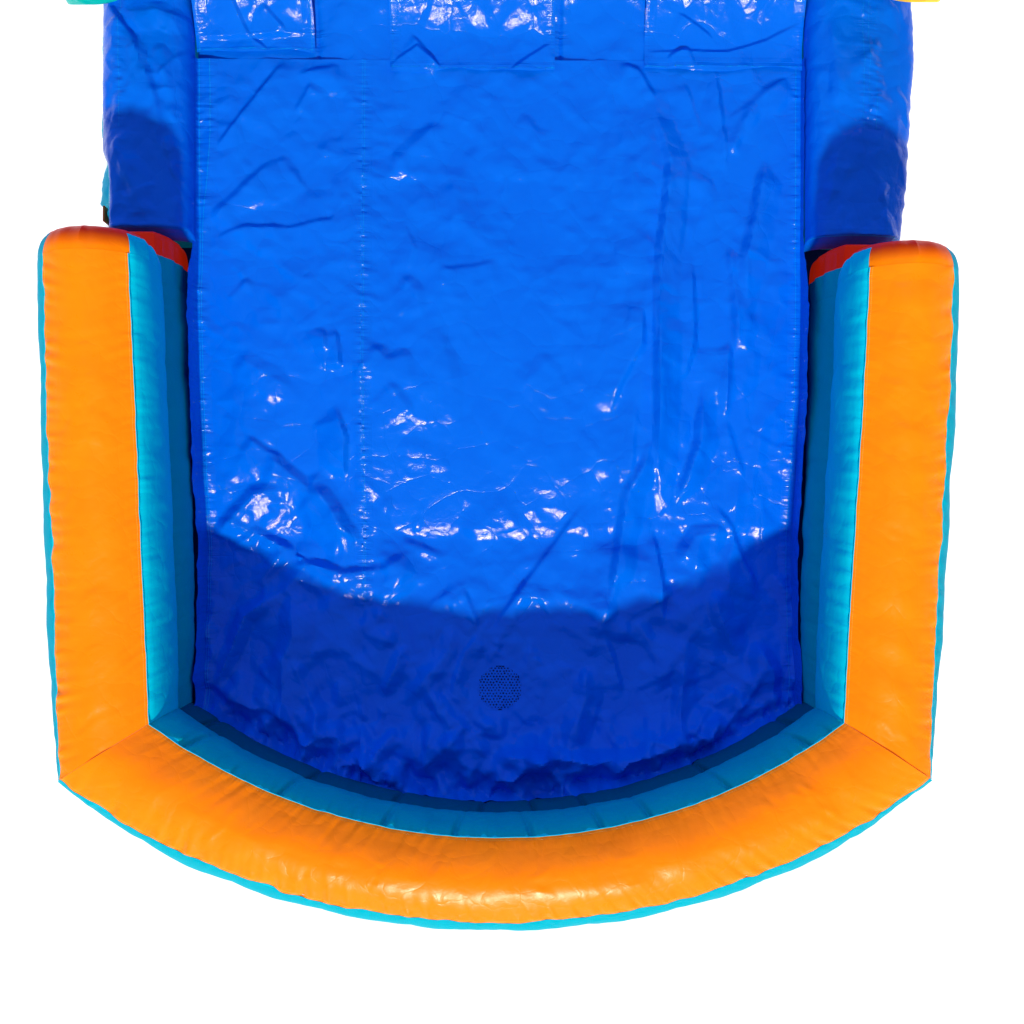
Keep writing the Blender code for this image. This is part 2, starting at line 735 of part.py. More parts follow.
def climbing_wall():
    """The face swells between the flat strips that the steps are sewn to."""
    seat_share = STEP_SEAT / climb_length() / 2
    profile = [climb_point(0)]
    last = 0.0
    for place in CLIMB_STEP_SHARES + (1.0,):
        low = last
        high = 1.0 if place == 1.0 else place - seat_share
        for k in range(1, 4):
            share = mix(low, high, k / 4)
            profile.append(climb_point(share, CLIMB_SWELL * math.sin(math.pi * k / 4)))
        profile.append(climb_point(high))
        if place < 1.0:
            last = place + seat_share
            profile.append(climb_point(last))
    back_y = CLIMB_FOOT_Y - CLIMB_DEPTH
    back_z = PLATFORM_HEIGHT * (1 - CLIMB_DEPTH / CLIMB_RUN)
    profile += [(back_y, 0.0), (CLIMB_TOP_Y, back_z)]
    rings = [[(x, y, z) for y, z in profile] for x in spread(-BED_EDGE_X, BED_EDGE_X, 2)]
    loft("climbing_wall", rings, "blue")
    for number, place in enumerate(CLIMB_STEP_SHARES, 1):
        climbing_step(number, place)


def climbing_step(number, place):
    """A half-round bolster across the climbing wall, with rounded ends."""
    half_share = STEP_RADIUS / climb_length()
    rings = []
    left_end = [(-1, inset, size) for inset, size in STEP_END_SHARES]
    right_end = [(1, inset, size) for inset, size in reversed(STEP_END_SHARES)]
    for end, inset, size in left_end + right_end:
        x = end * (STEP_HALF_LENGTH - STEP_RADIUS * inset)
        ring = [(x, *climb_point(place - half_share * size, GAP))]
        for k in range(1, 6):
            angle = math.pi * k / 6
            share = place - half_share * size * math.cos(angle)
            ring.append((x, *climb_point(share, GAP + STEP_RADIUS * size * math.sin(angle))))
        ring.append((x, *climb_point(place + half_share * size, GAP)))
        rings.append(ring)
    loft(f"climbing_step_{number}", rings, "yellow" if number % 2 else "green")
    if number - 1 in LOOP_STEPS:
        for side, side_name in ((-1, "left"), (1, "right")):
            level = "upper" if number - 1 == LOOP_STEPS[0] else "lower"
            hand_loop(f"{side_name}_{level}_hand_loop", side * LOOP_X, place)


def hand_loop(name, middle_x, place):
    """A webbing strap that stands off the climbing wall between two sewn ends."""
    half_width = LOOP_WIDTH / 2 / climb_length()
    rings = []
    path = [(-LOOP_SPAN / 2 - LOOP_FOOT, 0.0)]
    for k in range(9):
        angle = math.pi * k / 8
        path.append((-LOOP_SPAN / 2 * math.cos(angle), LOOP_RISE * math.sin(angle)))
    path.append((LOOP_SPAN / 2 + LOOP_FOOT, 0.0))
    for k, (along, rise) in enumerate(path):
        before = path[max(0, k - 1)]
        after = path[min(len(path) - 1, k + 1)]
        tangent = Vector((after[0] - before[0], after[1] - before[1])).normalized()
        out = Vector((-tangent.y, tangent.x)) * LOOP_THICKNESS
        inner = Vector((along, rise + GAP))
        outer = inner + out
        ring = []
        for corner, share in (
            (inner, place - half_width),
            (inner, place + half_width),
            (outer, place + half_width),
            (outer, place - half_width),
        ):
            ring.append((middle_x + corner.x, *climb_point(share, corner.y)))
        rings.append(ring)
    loft(name, rings, "webbing")


# Side walls and rails


def wall_top(y):
    """Height of a side wall's top edge."""
    shoulder_y = SLIDE_TOP_Y - HEAD_BLEND
    deck_top = PLATFORM_HEIGHT + WALL_ABOVE_PLATFORM
    knots = (
        (WALL_FRONT_Y, WALL_FRONT_TOP),
        (WALL_SHOULDER_Y, lane_height(WALL_SHOULDER_Y) + WALL_ABOVE_LANE),
        (shoulder_y, lane_height(shoulder_y) + WALL_ABOVE_LANE),
        (SLIDE_TOP_Y + HEAD_BLEND, deck_top),
        (CLIMB_TOP_Y, deck_top),
        (WALL_BACK_Y, WALL_TAIL_TOP),
    )
    for (start, low), (end, high) in zip(knots, knots[1:]):
        if y <= end:
            return mix(low, high, max(0.0, (y - start) / (end - start)))
    return WALL_TAIL_TOP


def wall_rows():
    """Baffles and the middles between them, with a row at each corner of the top edge."""
    corners = (
        WALL_FRONT_Y,
        WALL_SHOULDER_Y,
        SLIDE_TOP_Y - HEAD_BLEND,
        SLIDE_TOP_Y + HEAD_BLEND,
        CLIMB_TOP_Y,
        WALL_BACK_Y,
    )
    rows = [corners[0]]
    for start, end in zip(corners, corners[1:]):
        bays = max(1, round((end - start) / BAFFLE_PITCH))
        rows += spread(start, end, 2 * bays)[1:]
    return rows


def slide_wall(side, side_name):
    """Rings along Y. The outer face swells between the baffles above its flat base."""
    rings = []
    for k, y in enumerate(wall_rows()):
        top = wall_top(y)
        swell = WALL_SWELL * (1.0 if k % 2 else WALL_BAFFLE_SHARE)
        ring = [(BED_HALF_WIDTH, 0.0), (OUTER_FACE_X, 0.0), (OUTER_FACE_X, FLAT_BASE)]
        for i in range(1, 5):
            angle = math.pi * i / 5
            ring.append((OUTER_FACE_X + swell * math.sin(angle), mix(FLAT_BASE, top, i / 5)))
        ring += [(OUTER_FACE_X, top), (BED_HALF_WIDTH, top)]
        low = wall_floor(y) + LINING_CLEARANCE
        for i in range(3, 0, -1):
            reach = INNER_SWELL * math.sin(math.pi * i / 4) * (swell / WALL_SWELL)
            ring.append((BED_HALF_WIDTH - reach, mix(low, top, i / 4)))
        ring.append((BED_HALF_WIDTH, low))
        rings.append([(side * x, y, z) for x, z in ring])
    loft(side_name + "_slide_wall", rings, "cyan")


def wall_floor(y):
    """Height of what lies beside the inner face: the lane, the deck or the climbing wall."""
    if y <= CLIMB_TOP_Y:
        return lane_height(y)
    share = min(1.0, (y - CLIMB_TOP_Y) / CLIMB_RUN)
    steepness = climb_length() / CLIMB_RUN
    step_reach = (CLIMB_SWELL + GAP) * steepness
    return mix(PLATFORM_HEIGHT, 0.0, share) + step_reach


def slide_rail(side, side_name, colour):
    """A padded rail along the side wall's top edge, flat below and round above. Its nose
    drops and turns outwards in front of the wall."""
    middle = (BED_HALF_WIDTH + OUTER_FACE_X) / 2
    rows = wall_rows()
    nose = [(rows[0] - RAIL_NOSE * place, size, place) for place, size in RAIL_NOSE_SHARES]
    tail = [(rows[-1] + RAIL_TAIL * place, size, 0.0) for place, size in RAIL_NOSE_SHARES]
    stations = nose + [(y, 1.0, 0.0) for y in rows] + tail[::-1]
    rings = []
    for k, (y, size, reach) in enumerate(stations):
        before = stations[max(0, k - 1)][0]
        after = stations[min(len(stations) - 1, k + 1)][0]
        rise = wall_top(after) - wall_top(before)
        steepness = math.hypot(after - before, rise) / (after - before)
        height = RAIL_HEIGHT * steepness
        base = wall_top(y) + GAP - RAIL_NOSE_DROP * reach
        centre = base + height / 2
        turned = middle + RAIL_NOSE_FLARE * reach**2
        ring = []
        for i in range(RAIL_STEPS + 1):
            angle = math.pi * i / RAIL_STEPS
            x = turned + RAIL_WIDTH / 2 * size * math.cos(angle)
            ring.append((side * x, y, centre + (height * (math.sin(angle) - 0.5)) * size))
        rings.append(ring)
    loft(side_name + "_slide_rail", rings, colour)


# Anchor fittings


def ring_outline():
    """Centre line of a D-ring about its bar: Y along the bar, Z down to the bow."""
    half = RING_HALF_WIDTH
    corner = RING_CORNER
    bow = RING_DROP - half
    points = []
    for side in (1, -1):
        quarter = []
        for k in range(4):
            angle = math.radians(90) * k / 3
            y = half - corner + corner * math.sin(angle)
            quarter.append((side * y, -corner + corner * math.cos(angle)))
        for k in range(6):
            angle = math.radians(90) * k / 6
            quarter.append((side * half * math.cos(angle), -bow - half * math.sin(angle)))
        if side > 0:
            quarter.append((0.0, -bow - half))
        points += quarter if side > 0 else quarter[::-1]
    return points


def anchor(side, side_name, place_name, y):
    """A webbing tab sewn to the side, folded round the bar of a D-ring."""
    eye = RING_WIRE + RING_CLEARANCE
    bar_x = OUTER_FACE_X + GAP + TAB_THICKNESS + eye
    outer = eye + TAB_THICKNESS
    profile = []
    steps = 10
    top_z = ANCHOR_HEIGHT + TAB_HEIGHT
    face = OUTER_FACE_X + GAP
    for k in range(steps + 1):
        angle = math.radians(90) - math.radians(270) * k / steps
        profile.append((bar_x + outer * math.cos(angle), ANCHOR_HEIGHT + outer * math.sin(angle)))
    profile += [(face, top_z), (face + TAB_THICKNESS, top_z)]
    profile.append((face + TAB_THICKNESS, ANCHOR_HEIGHT + outer))
    rings = []
    for end in (-TAB_LENGTH / 2, TAB_LENGTH / 2):
        rings.append([(side * x, y + end, z) for x, z in profile])
    name = f"{side_name}_{place_name}_anchor"
    tab = loft(name + "_tab", rings, "webbing")
    bore = bmesh.new()
    bmesh.ops.create_cone(
        bore, cap_ends=True, segments=12, radius1=eye, radius2=eye, depth=TAB_LENGTH + OVERRUN
    )
    quarter_turn = Matrix.Rotation(math.radians(90), 3, "X")
    bmesh.ops.rotate(bore, verts=bore.verts, cent=(0, 0, 0), matrix=quarter_turn)
    bmesh.ops.translate(bore, verts=bore.verts, vec=(side * bar_x, y, ANCHOR_HEIGHT))
    cutter = add_object(name + "_eye_cutter", bore, "steel")
    cutter.hide_render = True
    cutter.display_type = "WIRE"
    cut(tab, cutter)
    curve = bpy.data.curves.new(name + "_ring", "CURVE")
    curve.dimensions = "3D"
    curve.bevel_depth = RING_WIRE
    curve.bevel_resolution = 1
    spline = curve.splines.new("POLY")
    points = ring_outline()
    spline.points.add(len(points) - 1)
    for point, (along, down) in zip(spline.points, points):
        point.co = (0, along, down, 1)
    spline.use_cyclic_u = True
    curve.materials.append(finish_material("steel"))
    ring = bpy.data.objects.new(name + "_ring", curve)
    ring.location = (side * bar_x, y, ANCHOR_HEIGHT)
    bpy.context.scene.collection.objects.link(ring)


# Air inlet and deflation port


def turned_tube(name, x, start_y, end_y, inner, outer, centre_z, colour, sides=20):
    """A short tube along Y, made from one wall section turned about its axis."""
    rings = []
    for k in range(sides):
        angle = 2 * math.pi * k / sides
        ring = []
        for radius, y in ((inner, start_y), (outer, start_y), (outer, end_y), (inner, end_y)):
            ring.append((x + radius * math.cos(angle), y, centre_z + radius * math.sin(angle)))
        rings.append(ring)
    return loft(name, rings, colour, closed=True)


def air_inlet():
    start = WALL_BACK_Y + GAP
    strap_inner = SLEEVE_RADIUS + GAP
    strap_outer = strap_inner + STRAP_THICKNESS
    centre_z = strap_outer
    turned_tube(
        "air_inlet_sleeve",
        -SLEEVE_X,
        start,
        start + SLEEVE_LENGTH,
        SLEEVE_RADIUS - SLEEVE_WALL,
        SLEEVE_RADIUS,
        centre_z,
        "cyan",
    )
    strap_y = start + SLEEVE_LENGTH * STRAP_PLACE_SHARE
    turned_tube(
        "air_inlet_tie_strap",
        -SLEEVE_X,
        strap_y,
        strap_y + STRAP_WIDTH,
        strap_inner,
        strap_outer,
        centre_z,
        "webbing",
    )


def block(name, low, high, bevel, colour, origin):
    """A bevelled block between two corners."""
    bm = bmesh.new()
    bmesh.ops.create_cube(bm, size=1)
    size = [b - a for a, b in zip(low, high)]
    middle = [(a + b) / 2 for a, b in zip(low, high)]
    bmesh.ops.scale(bm, verts=bm.verts, vec=size)
    bmesh.ops.translate(bm, verts=bm.verts, vec=middle)
    bmesh.ops.bevel(bm, geom=bm.edges, offset=bevel, segments=1, affect="EDGES")
    return add_object(name, bm, colour, origin)


def deflation_port():
    """A zip on the right side wall's flat base, under a flap that hangs from a sewn hem."""
    face = OUTER_FACE_X + GAP
    zip_face = face + ZIP_THICKNESS
    low_z = ZIP_Z - ZIP_HEIGHT / 2
    high_z = ZIP_Z + ZIP_HEIGHT / 2
    end_y = PORT_Y + ZIP_LENGTH
    block(
        "deflation_zip_tape",
        (face, PORT_Y, low_z),
        (zip_face, end_y, high_z),
        FITTING_BEVEL,
        "zip",
        (face, PORT_Y, ZIP_Z),
    )
    slider_x = zip_face + GAP
    slider_y = PORT_Y + SLIDER_LENGTH
    block(
        "deflation_zip_slider",
        (slider_x, slider_y, ZIP_Z - SLIDER_HEIGHT / 2),
        (slider_x + SLIDER_THICKNESS, slider_y + SLIDER_LENGTH, ZIP_Z + SLIDER_HEIGHT / 2),
        FITTING_BEVEL,
        "steel",
        (slider_x, slider_y, ZIP_Z),
    )
    front = PORT_Y - FLAP_MARGIN
    back = end_y + FLAP_MARGIN
    block(
        "deflation_flap_hem",
        (face, front, HEM_Z),
        (face + HEM_THICKNESS, back, HEM_Z + HEM_HEIGHT),
        FITTING_BEVEL,
        "cyan",
        (face, front, HEM_Z),
    )
    flap_x = face + HEM_THICKNESS - FLAP_THICKNESS
    pivot = (flap_x + FLAP_THICKNESS, front, HEM_Z - GAP / 2)
    block(
        "deflation_flap",
        (flap_x, front, HEM_Z - GAP - FLAP_HEIGHT),
        (flap_x + FLAP_THICKNESS, back, HEM_Z - GAP),
        FITTING_BEVEL,
        "cyan",
        pivot,
    )


clear_scene()
ground_sheet()
liner()
drain_patch()
front_wall()
landing_bed()
slide()
climbing_wall()
air_inlet()
deflation_port()
for side, side_name, rail_colour in ((-1, "left", "green"), (1, "right", "yellow")):
    side_wall(side, side_name)
    landing_bolster(side, side_name)
    slide_wall(side, side_name)
    slide_rail(side, side_name, rail_colour)
    for place_name, y in ANCHOR_PLACES:
        anchor(side, side_name, place_name, y)
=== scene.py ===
import math

import bpy
import numpy as np
from mathutils import Matrix, Vector


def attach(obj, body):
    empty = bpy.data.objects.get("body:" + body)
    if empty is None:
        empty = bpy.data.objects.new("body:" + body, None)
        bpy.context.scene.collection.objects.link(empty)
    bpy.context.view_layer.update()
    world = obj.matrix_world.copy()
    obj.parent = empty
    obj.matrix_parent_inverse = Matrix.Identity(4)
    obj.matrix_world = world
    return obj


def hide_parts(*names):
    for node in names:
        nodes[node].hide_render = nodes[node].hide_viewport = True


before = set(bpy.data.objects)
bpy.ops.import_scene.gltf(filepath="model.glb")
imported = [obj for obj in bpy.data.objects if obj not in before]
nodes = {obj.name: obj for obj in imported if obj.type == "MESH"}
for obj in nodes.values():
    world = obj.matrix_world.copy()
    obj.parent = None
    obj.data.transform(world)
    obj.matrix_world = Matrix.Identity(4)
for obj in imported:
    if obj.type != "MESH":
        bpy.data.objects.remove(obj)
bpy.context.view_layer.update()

# Inflatable water slide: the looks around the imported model. Metres, +Z up.
sides = ((-1, "left"), (1, "right"))
print("frame:", len(nodes), "nodes")


# small helpers on whole arrays

def mix(a, b, share):
    return a + (b - a) * share


def smoothStep(t):
    t = np.clip(t, 0, 1)
    return t * t * (3 - 2 * t)


# arrays of one shape each, side by side as the parts of points
def joined(*parts):
    return np.stack(np.broadcast_arrays(*parts), -1)


# length run from the first point of a line to each of its points
def runLength(line):
    return np.concatenate(([0], np.cumsum(np.hypot(*np.diff(line, axis=0).T))))


# The sum of plane waves in random directions, six to an octave. Each octave has half the
# wavelength, and about half the height, of the one before.
def waves(x, y, wavelength, seed, octaves=3, fade=0.55):
    rng = np.random.default_rng(seed)
    total = np.zeros(np.broadcast(x, y).shape)
    level = 2.45
    for octave in range(octaves):
        for _ in range(6):
            angle, phase = rng.uniform(0, 2 * math.pi, 2)
            rate = 2 * math.pi / wavelength * 2**octave * rng.uniform(0.7, 1.3)
            along = x * math.cos(angle) + y * math.sin(angle)
            total += np.cos(along * rate + phase) * fade**octave / level
    return total


# The height of a fold along a polyline, from 0 to 1: a tent across the line, with its own
# width on the left and on the right, lower and narrower towards the line's ends.
def foldHeight(x, y, line, leftWidth, rightWidth):
    best = np.full(x.shape, 1e9)
    side = np.zeros(x.shape)
    share = np.zeros(x.shape)
    total = sum(math.dist(a, b) for a, b in zip(line, line[1:]))
    run = 0.0
    for a, b in zip(line, line[1:]):
        length = math.dist(a, b)
        ux, uy = (b[0] - a[0]) / length, (b[1] - a[1]) / length
        dx, dy = x - a[0], y - a[1]
        along = np.clip(dx * ux + dy * uy, 0, length)
        away = np.hypot(dx - along * ux, dy - along * uy)
        nearer = away < best
        best = np.where(nearer, away, best)
        side = np.where(nearer, np.sign(ux * dy - uy * dx), side)
        share = np.where(nearer, (run + along) / total, share)
        run += length
    width = np.where(side > 0, leftWidth, rightWidth)
    ends = smoothStep(4 * np.minimum(share, 1 - share) + 0.15)
    return np.clip(1 - best / (width * (0.5 + 0.5 * ends)), 0, 1) * ends


# Many short random folds: each is a tent across a straight line, faded towards its ends.
def crumple(x, y, area, count, seed, width, steepness, run=(1.2, 3.0), heading=(0, math.pi)):
    rng = np.random.default_rng(seed)
    (lowX, highX), (lowY, highY) = area
    total = np.zeros(x.shape)
    for _ in range(count):
        centreX, centreY = rng.uniform(lowX, highX), rng.uniform(lowY, highY)
        angle = rng.uniform(*heading)
        near, far = rng.uniform(*width, 2)
        half = rng.uniform(*run) * max(near, far)
        height = rng.uniform(*steepness) * min(near, far) * rng.choice((-1, 1, 1))
        dx, dy = x - centreX, y - centreY
        along = dx * math.cos(angle) + dy * math.sin(angle)
        across = dy * math.cos(angle) - dx * math.sin(angle)
        tent = np.clip(1 - np.abs(across) / np.where(across > 0, near, far), 0, 1)
        total += height * tent * smoothStep(1.6 * (1 - np.abs(along) / half))
    return total


# meshes

# Turns points and lists of faces into an object. A closed mesh whose volume comes out
# negative has its faces turned round, so that they always point outwards.
def makePiece(name, points, faces, finish, uv=None, sharp=40, body="slide"):
    points = np.asarray(points, float).reshape(-1, 3)
    volume = 0.0
    for block in faces:
        first = points[block[:, 0]]
        for k in range(1, block.shape[1] - 1):
            volume += np.sum(first * np.cross(points[block[:, k]], points[block[:, k + 1]]))
    if volume < 0:
        faces = [block[:, ::-1] for block in faces]
    mesh = bpy.data.meshes.new(name)
    mesh.from_pydata(points.tolist(), [], [f for block in faces for f in block.tolist()])
    seam = np.ones((len(points), 2)) if uv is None else np.asarray(uv, float).reshape(-1, 2)
    layer = mesh.uv_layers.new(name="seam")
    corners = np.empty(len(mesh.loops), int)
    mesh.loops.foreach_get("vertex_index", corners)
    layer.data.foreach_set("uv", seam[corners].ravel())
    mesh.shade_smooth()
    mesh.set_sharp_from_angle(angle=math.radians(sharp))
    mesh.materials.append(finish)
    obj = bpy.data.objects.new(name, mesh)
    bpy.context.scene.collection.objects.link(obj)
    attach(obj, body)
    return obj


# the four-sided cells of a grid of point numbers
def cells(index):
    return joined(index[:-1, :-1], index[1:, :-1], index[1:, 1:], index[:-1, 1:]).reshape(-1, 4)


# A skin through closed rings, rows of one array: quads between the rings, and a fan of
# triangles to the middle of the first and last ring.
def skin(name, rings, finish, uv=None, **more):
    count, around = rings.shape[:2]
    index = np.arange(count * around).reshape(count, around)
    wrapped = np.concatenate((index, index[:, :1]), 1)
    points = np.concatenate((rings.reshape(-1, 3), rings[:1].mean(1), rings[-1:].mean(1)))
    first = joined(np.full(around, count * around), wrapped[0, :-1], wrapped[0, 1:])
    last = joined(np.full(around, count * around + 1), wrapped[-1, 1:], wrapped[-1, :-1])
    if uv is not None:
        uv = np.concatenate((uv.reshape(-1, 2), uv[0, :1], uv[-1, :1]))
    return makePiece(name, points, [cells(wrapped), first, last], finish, uv, **more)


# A closed sheet: its face is a fine grid, its back a grid of every step-th point moved by
# the thickness, and a rim joins them. Both grids need a multiple of step cells each way.
def sheetSkin(name, face, thickness, finish, step=1, back=None, uv=None, **more):
    rows, columns = face.shape[:2]
    back = (face + thickness if back is None else back)[::step, ::step]
    fine = np.arange(rows * columns).reshape(rows, columns)
    coarse = np.arange(back.shape[0] * back.shape[1]).reshape(back.shape[:2]) + fine.size

    def rim(index):
        return np.concatenate((index[0, :-1], index[:-1, -1], index[-1, :0:-1], index[:0:-1, 0]))

    outer = rim(fine)
    inner = rim(coarse)
    ahead = np.roll(outer, -1)
    owner = np.repeat(inner, step)
    fans = joined(outer, ahead, owner)
    turns = joined(np.roll(outer, -step)[::step], np.roll(inner, -1), inner)
    points = np.concatenate((face.reshape(-1, 3), back.reshape(-1, 3)))
    if uv is not None:
        uv = np.concatenate((uv.reshape(-1, 2), uv[::step, ::step].reshape(-1, 2)))
    faces = [cells(fine), cells(coarse)[:, ::-1], fans, turns]
    return makePiece(name, points, faces, finish, uv, **more)


# what a piece stands for: the imported node it replaces, which is hidden
def standsFor(replaced):
    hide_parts(replaced)


# shader nodes

def newGroup(name, inputs, outputs):
    group = bpy.data.node_groups.new(name, "ShaderNodeTree")
    for label, kind, value in inputs:
        socket = group.interface.new_socket(name=label, in_out="INPUT", socket_type=kind)
        if value is not None:
            socket.default_value = value
    for label, kind in outputs:
        group.interface.new_socket(name=label, in_out="OUTPUT", socket_type=kind)
    return group, group.nodes.new("NodeGroupInput").outputs, group.nodes.new("NodeGroupOutput").inputs


def node(tree, kind, values=(), **settings):
    made = tree.nodes.new("ShaderNode" + kind)
    for key, value in settings.items():
        setattr(made, key, value)
    for key, value in dict(values).items():
        if isinstance(value, bpy.types.NodeSocket):
            tree.links.new(value, made.inputs[key])
        else:
            made.inputs[key].default_value = value
    return made


def maths(tree, operation, a, b=0.0, c=0.0):
    return node(tree, "Math", {0: a, 1: b, 2: c}, operation=operation).outputs[0]


def ranged(tree, value, start=0.0, end=1.0, low=0.0, high=1.0):
    values = {"Value": value, "From Min": start, "From Max": end, "To Min": low, "To Max": high}
    return node(tree, "MapRange", values).outputs[0]


def blend(tree, share, first, second):
    first, second = (c if isinstance(c, bpy.types.NodeSocket) else (*c, 1) for c in (first, second))
    return node(tree, "Mix", {0: share, 6: first, 7: second}, data_type="RGBA").outputs[2]


# fine crinkles of coated cloth: ridged noise in two sizes, with a plain weave under it
def crinkleGroup():
    group, given, result = newGroup(
        "filmCrinkle",
        (("Vector", "NodeSocketVector", None), ("Size", "NodeSocketFloat", 0.05),
         ("Weave", "NodeSocketFloat", 0.1)),
        (("Height", "NodeSocketFloat"), ("Tone", "NodeSocketFloat")),
    )
    rate = maths(group, "DIVIDE", 1.0, given["Size"])
    bent = node(group, "TexNoise", {"Vector": given["Vector"], "Scale": rate, "Detail": 2.0})
    spread = node(group, "VectorMath", {0: bent.outputs["Color"], 1: (0.05, 0.05, 0.05)}, operation="MULTIPLY")
    moved = node(group, "VectorMath", {0: given["Vector"], 1: spread.outputs[0]}, operation="ADD")
    creases = node(group, "TexVoronoi", {"Vector": moved.outputs[0], "Scale": rate}, feature="DISTANCE_TO_EDGE")
    ridge = maths(group, "POWER", maths(group, "MINIMUM", creases.outputs["Distance"], 0.4), 0.6)
    finer = maths(group, "MULTIPLY", rate, 4.0)
    fine = node(group, "TexNoise", {"Vector": moved.outputs[0], "Scale": finer, "Detail": 3.0})
    threads = node(group, "TexVoronoi", {"Vector": given["Vector"], "Scale": 1400.0}, feature="F1")
    low = maths(group, "MULTIPLY_ADD", fine.outputs[0], 0.5, ridge)
    group.links.new(maths(group, "MULTIPLY_ADD", threads.outputs["Distance"], given["Weave"], low), result["Height"])
    group.links.new(bent.outputs[0], result["Tone"])
    return group


# a row of stitches: dashes along the row, wherever the seam map's distance is near zero
def stitchGroup():
    group, given, result = newGroup(
        "stitchRow",
        (("Along", "NodeSocketFloat", 0.0), ("Away", "NodeSocketFloat", 1.0),
         ("Pitch", "NodeSocketFloat", 0.005), ("Width", "NodeSocketFloat", 0.0009)),
        (("Thread", "NodeSocketFloat"), ("Puckers", "NodeSocketFloat")),
    )
    phase = maths(group, "FRACT", maths(group, "DIVIDE", given["Along"], given["Pitch"]))
    dash = maths(group, "LESS_THAN", maths(group, "ABSOLUTE", maths(group, "SUBTRACT", phase, 0.5)), 0.44)
    near = maths(group, "LESS_THAN", maths(group, "ABSOLUTE", given["Away"]), given["Width"])
    group.links.new(maths(group, "MULTIPLY", dash, near), result["Thread"])
    place = node(group, "CombineXYZ", {0: maths(group, "MULTIPLY", given["Along"], 90.0), 1: given["Away"]})
    ruck = node(group, "TexNoise", {"Vector": place.outputs[0], "Scale": 1.0, "Detail": 2.0})
    reach = ranged(group, given["Away"], 0.002, 0.022, 1.0, 0.0)
    group.links.new(maths(group, "MULTIPLY", ruck.outputs[0], reach), result["Puckers"])
    return group


# dust and rubbing: a mask of faint smears, thicker on faces that look up
def dustGroup():
    group, given, result = newGroup(
        "dustAndRub",
        (("Vector", "NodeSocketVector", None), ("Amount", "NodeSocketFloat", 0.1)),
        (("Dust", "NodeSocketFloat"), ("Rub", "NodeSocketFloat")),
    )
    smear = node(
        group, "TexNoise", {"Vector": given["Vector"], "Scale": 7.0, "Detail": 6.0, "Roughness": 0.65})
    cover = ranged(group, smear.outputs[0], 0.52, 0.8)
    facing = node(group, "SeparateXYZ", {0: node(group, "NewGeometry").outputs["Normal"]})
    upwards = ranged(group, facing.outputs["Z"], -0.2, 1.0)
    amount = maths(group, "MULTIPLY", cover, given["Amount"])
    group.links.new(maths(group, "MULTIPLY", amount, upwards), result["Dust"])
    rubbed = node(
        group, "TexNoise", {"Vector": given["Vector"], "Scale": 26.0, "Detail": 5.0, "Roughness": 0.7})
    group.links.new(rubbed.outputs[0], result["Rub"])
    return group


crinkle, stitchRow, dustAndRub = crinkleGroup(), stitchGroup(), dustGroup()

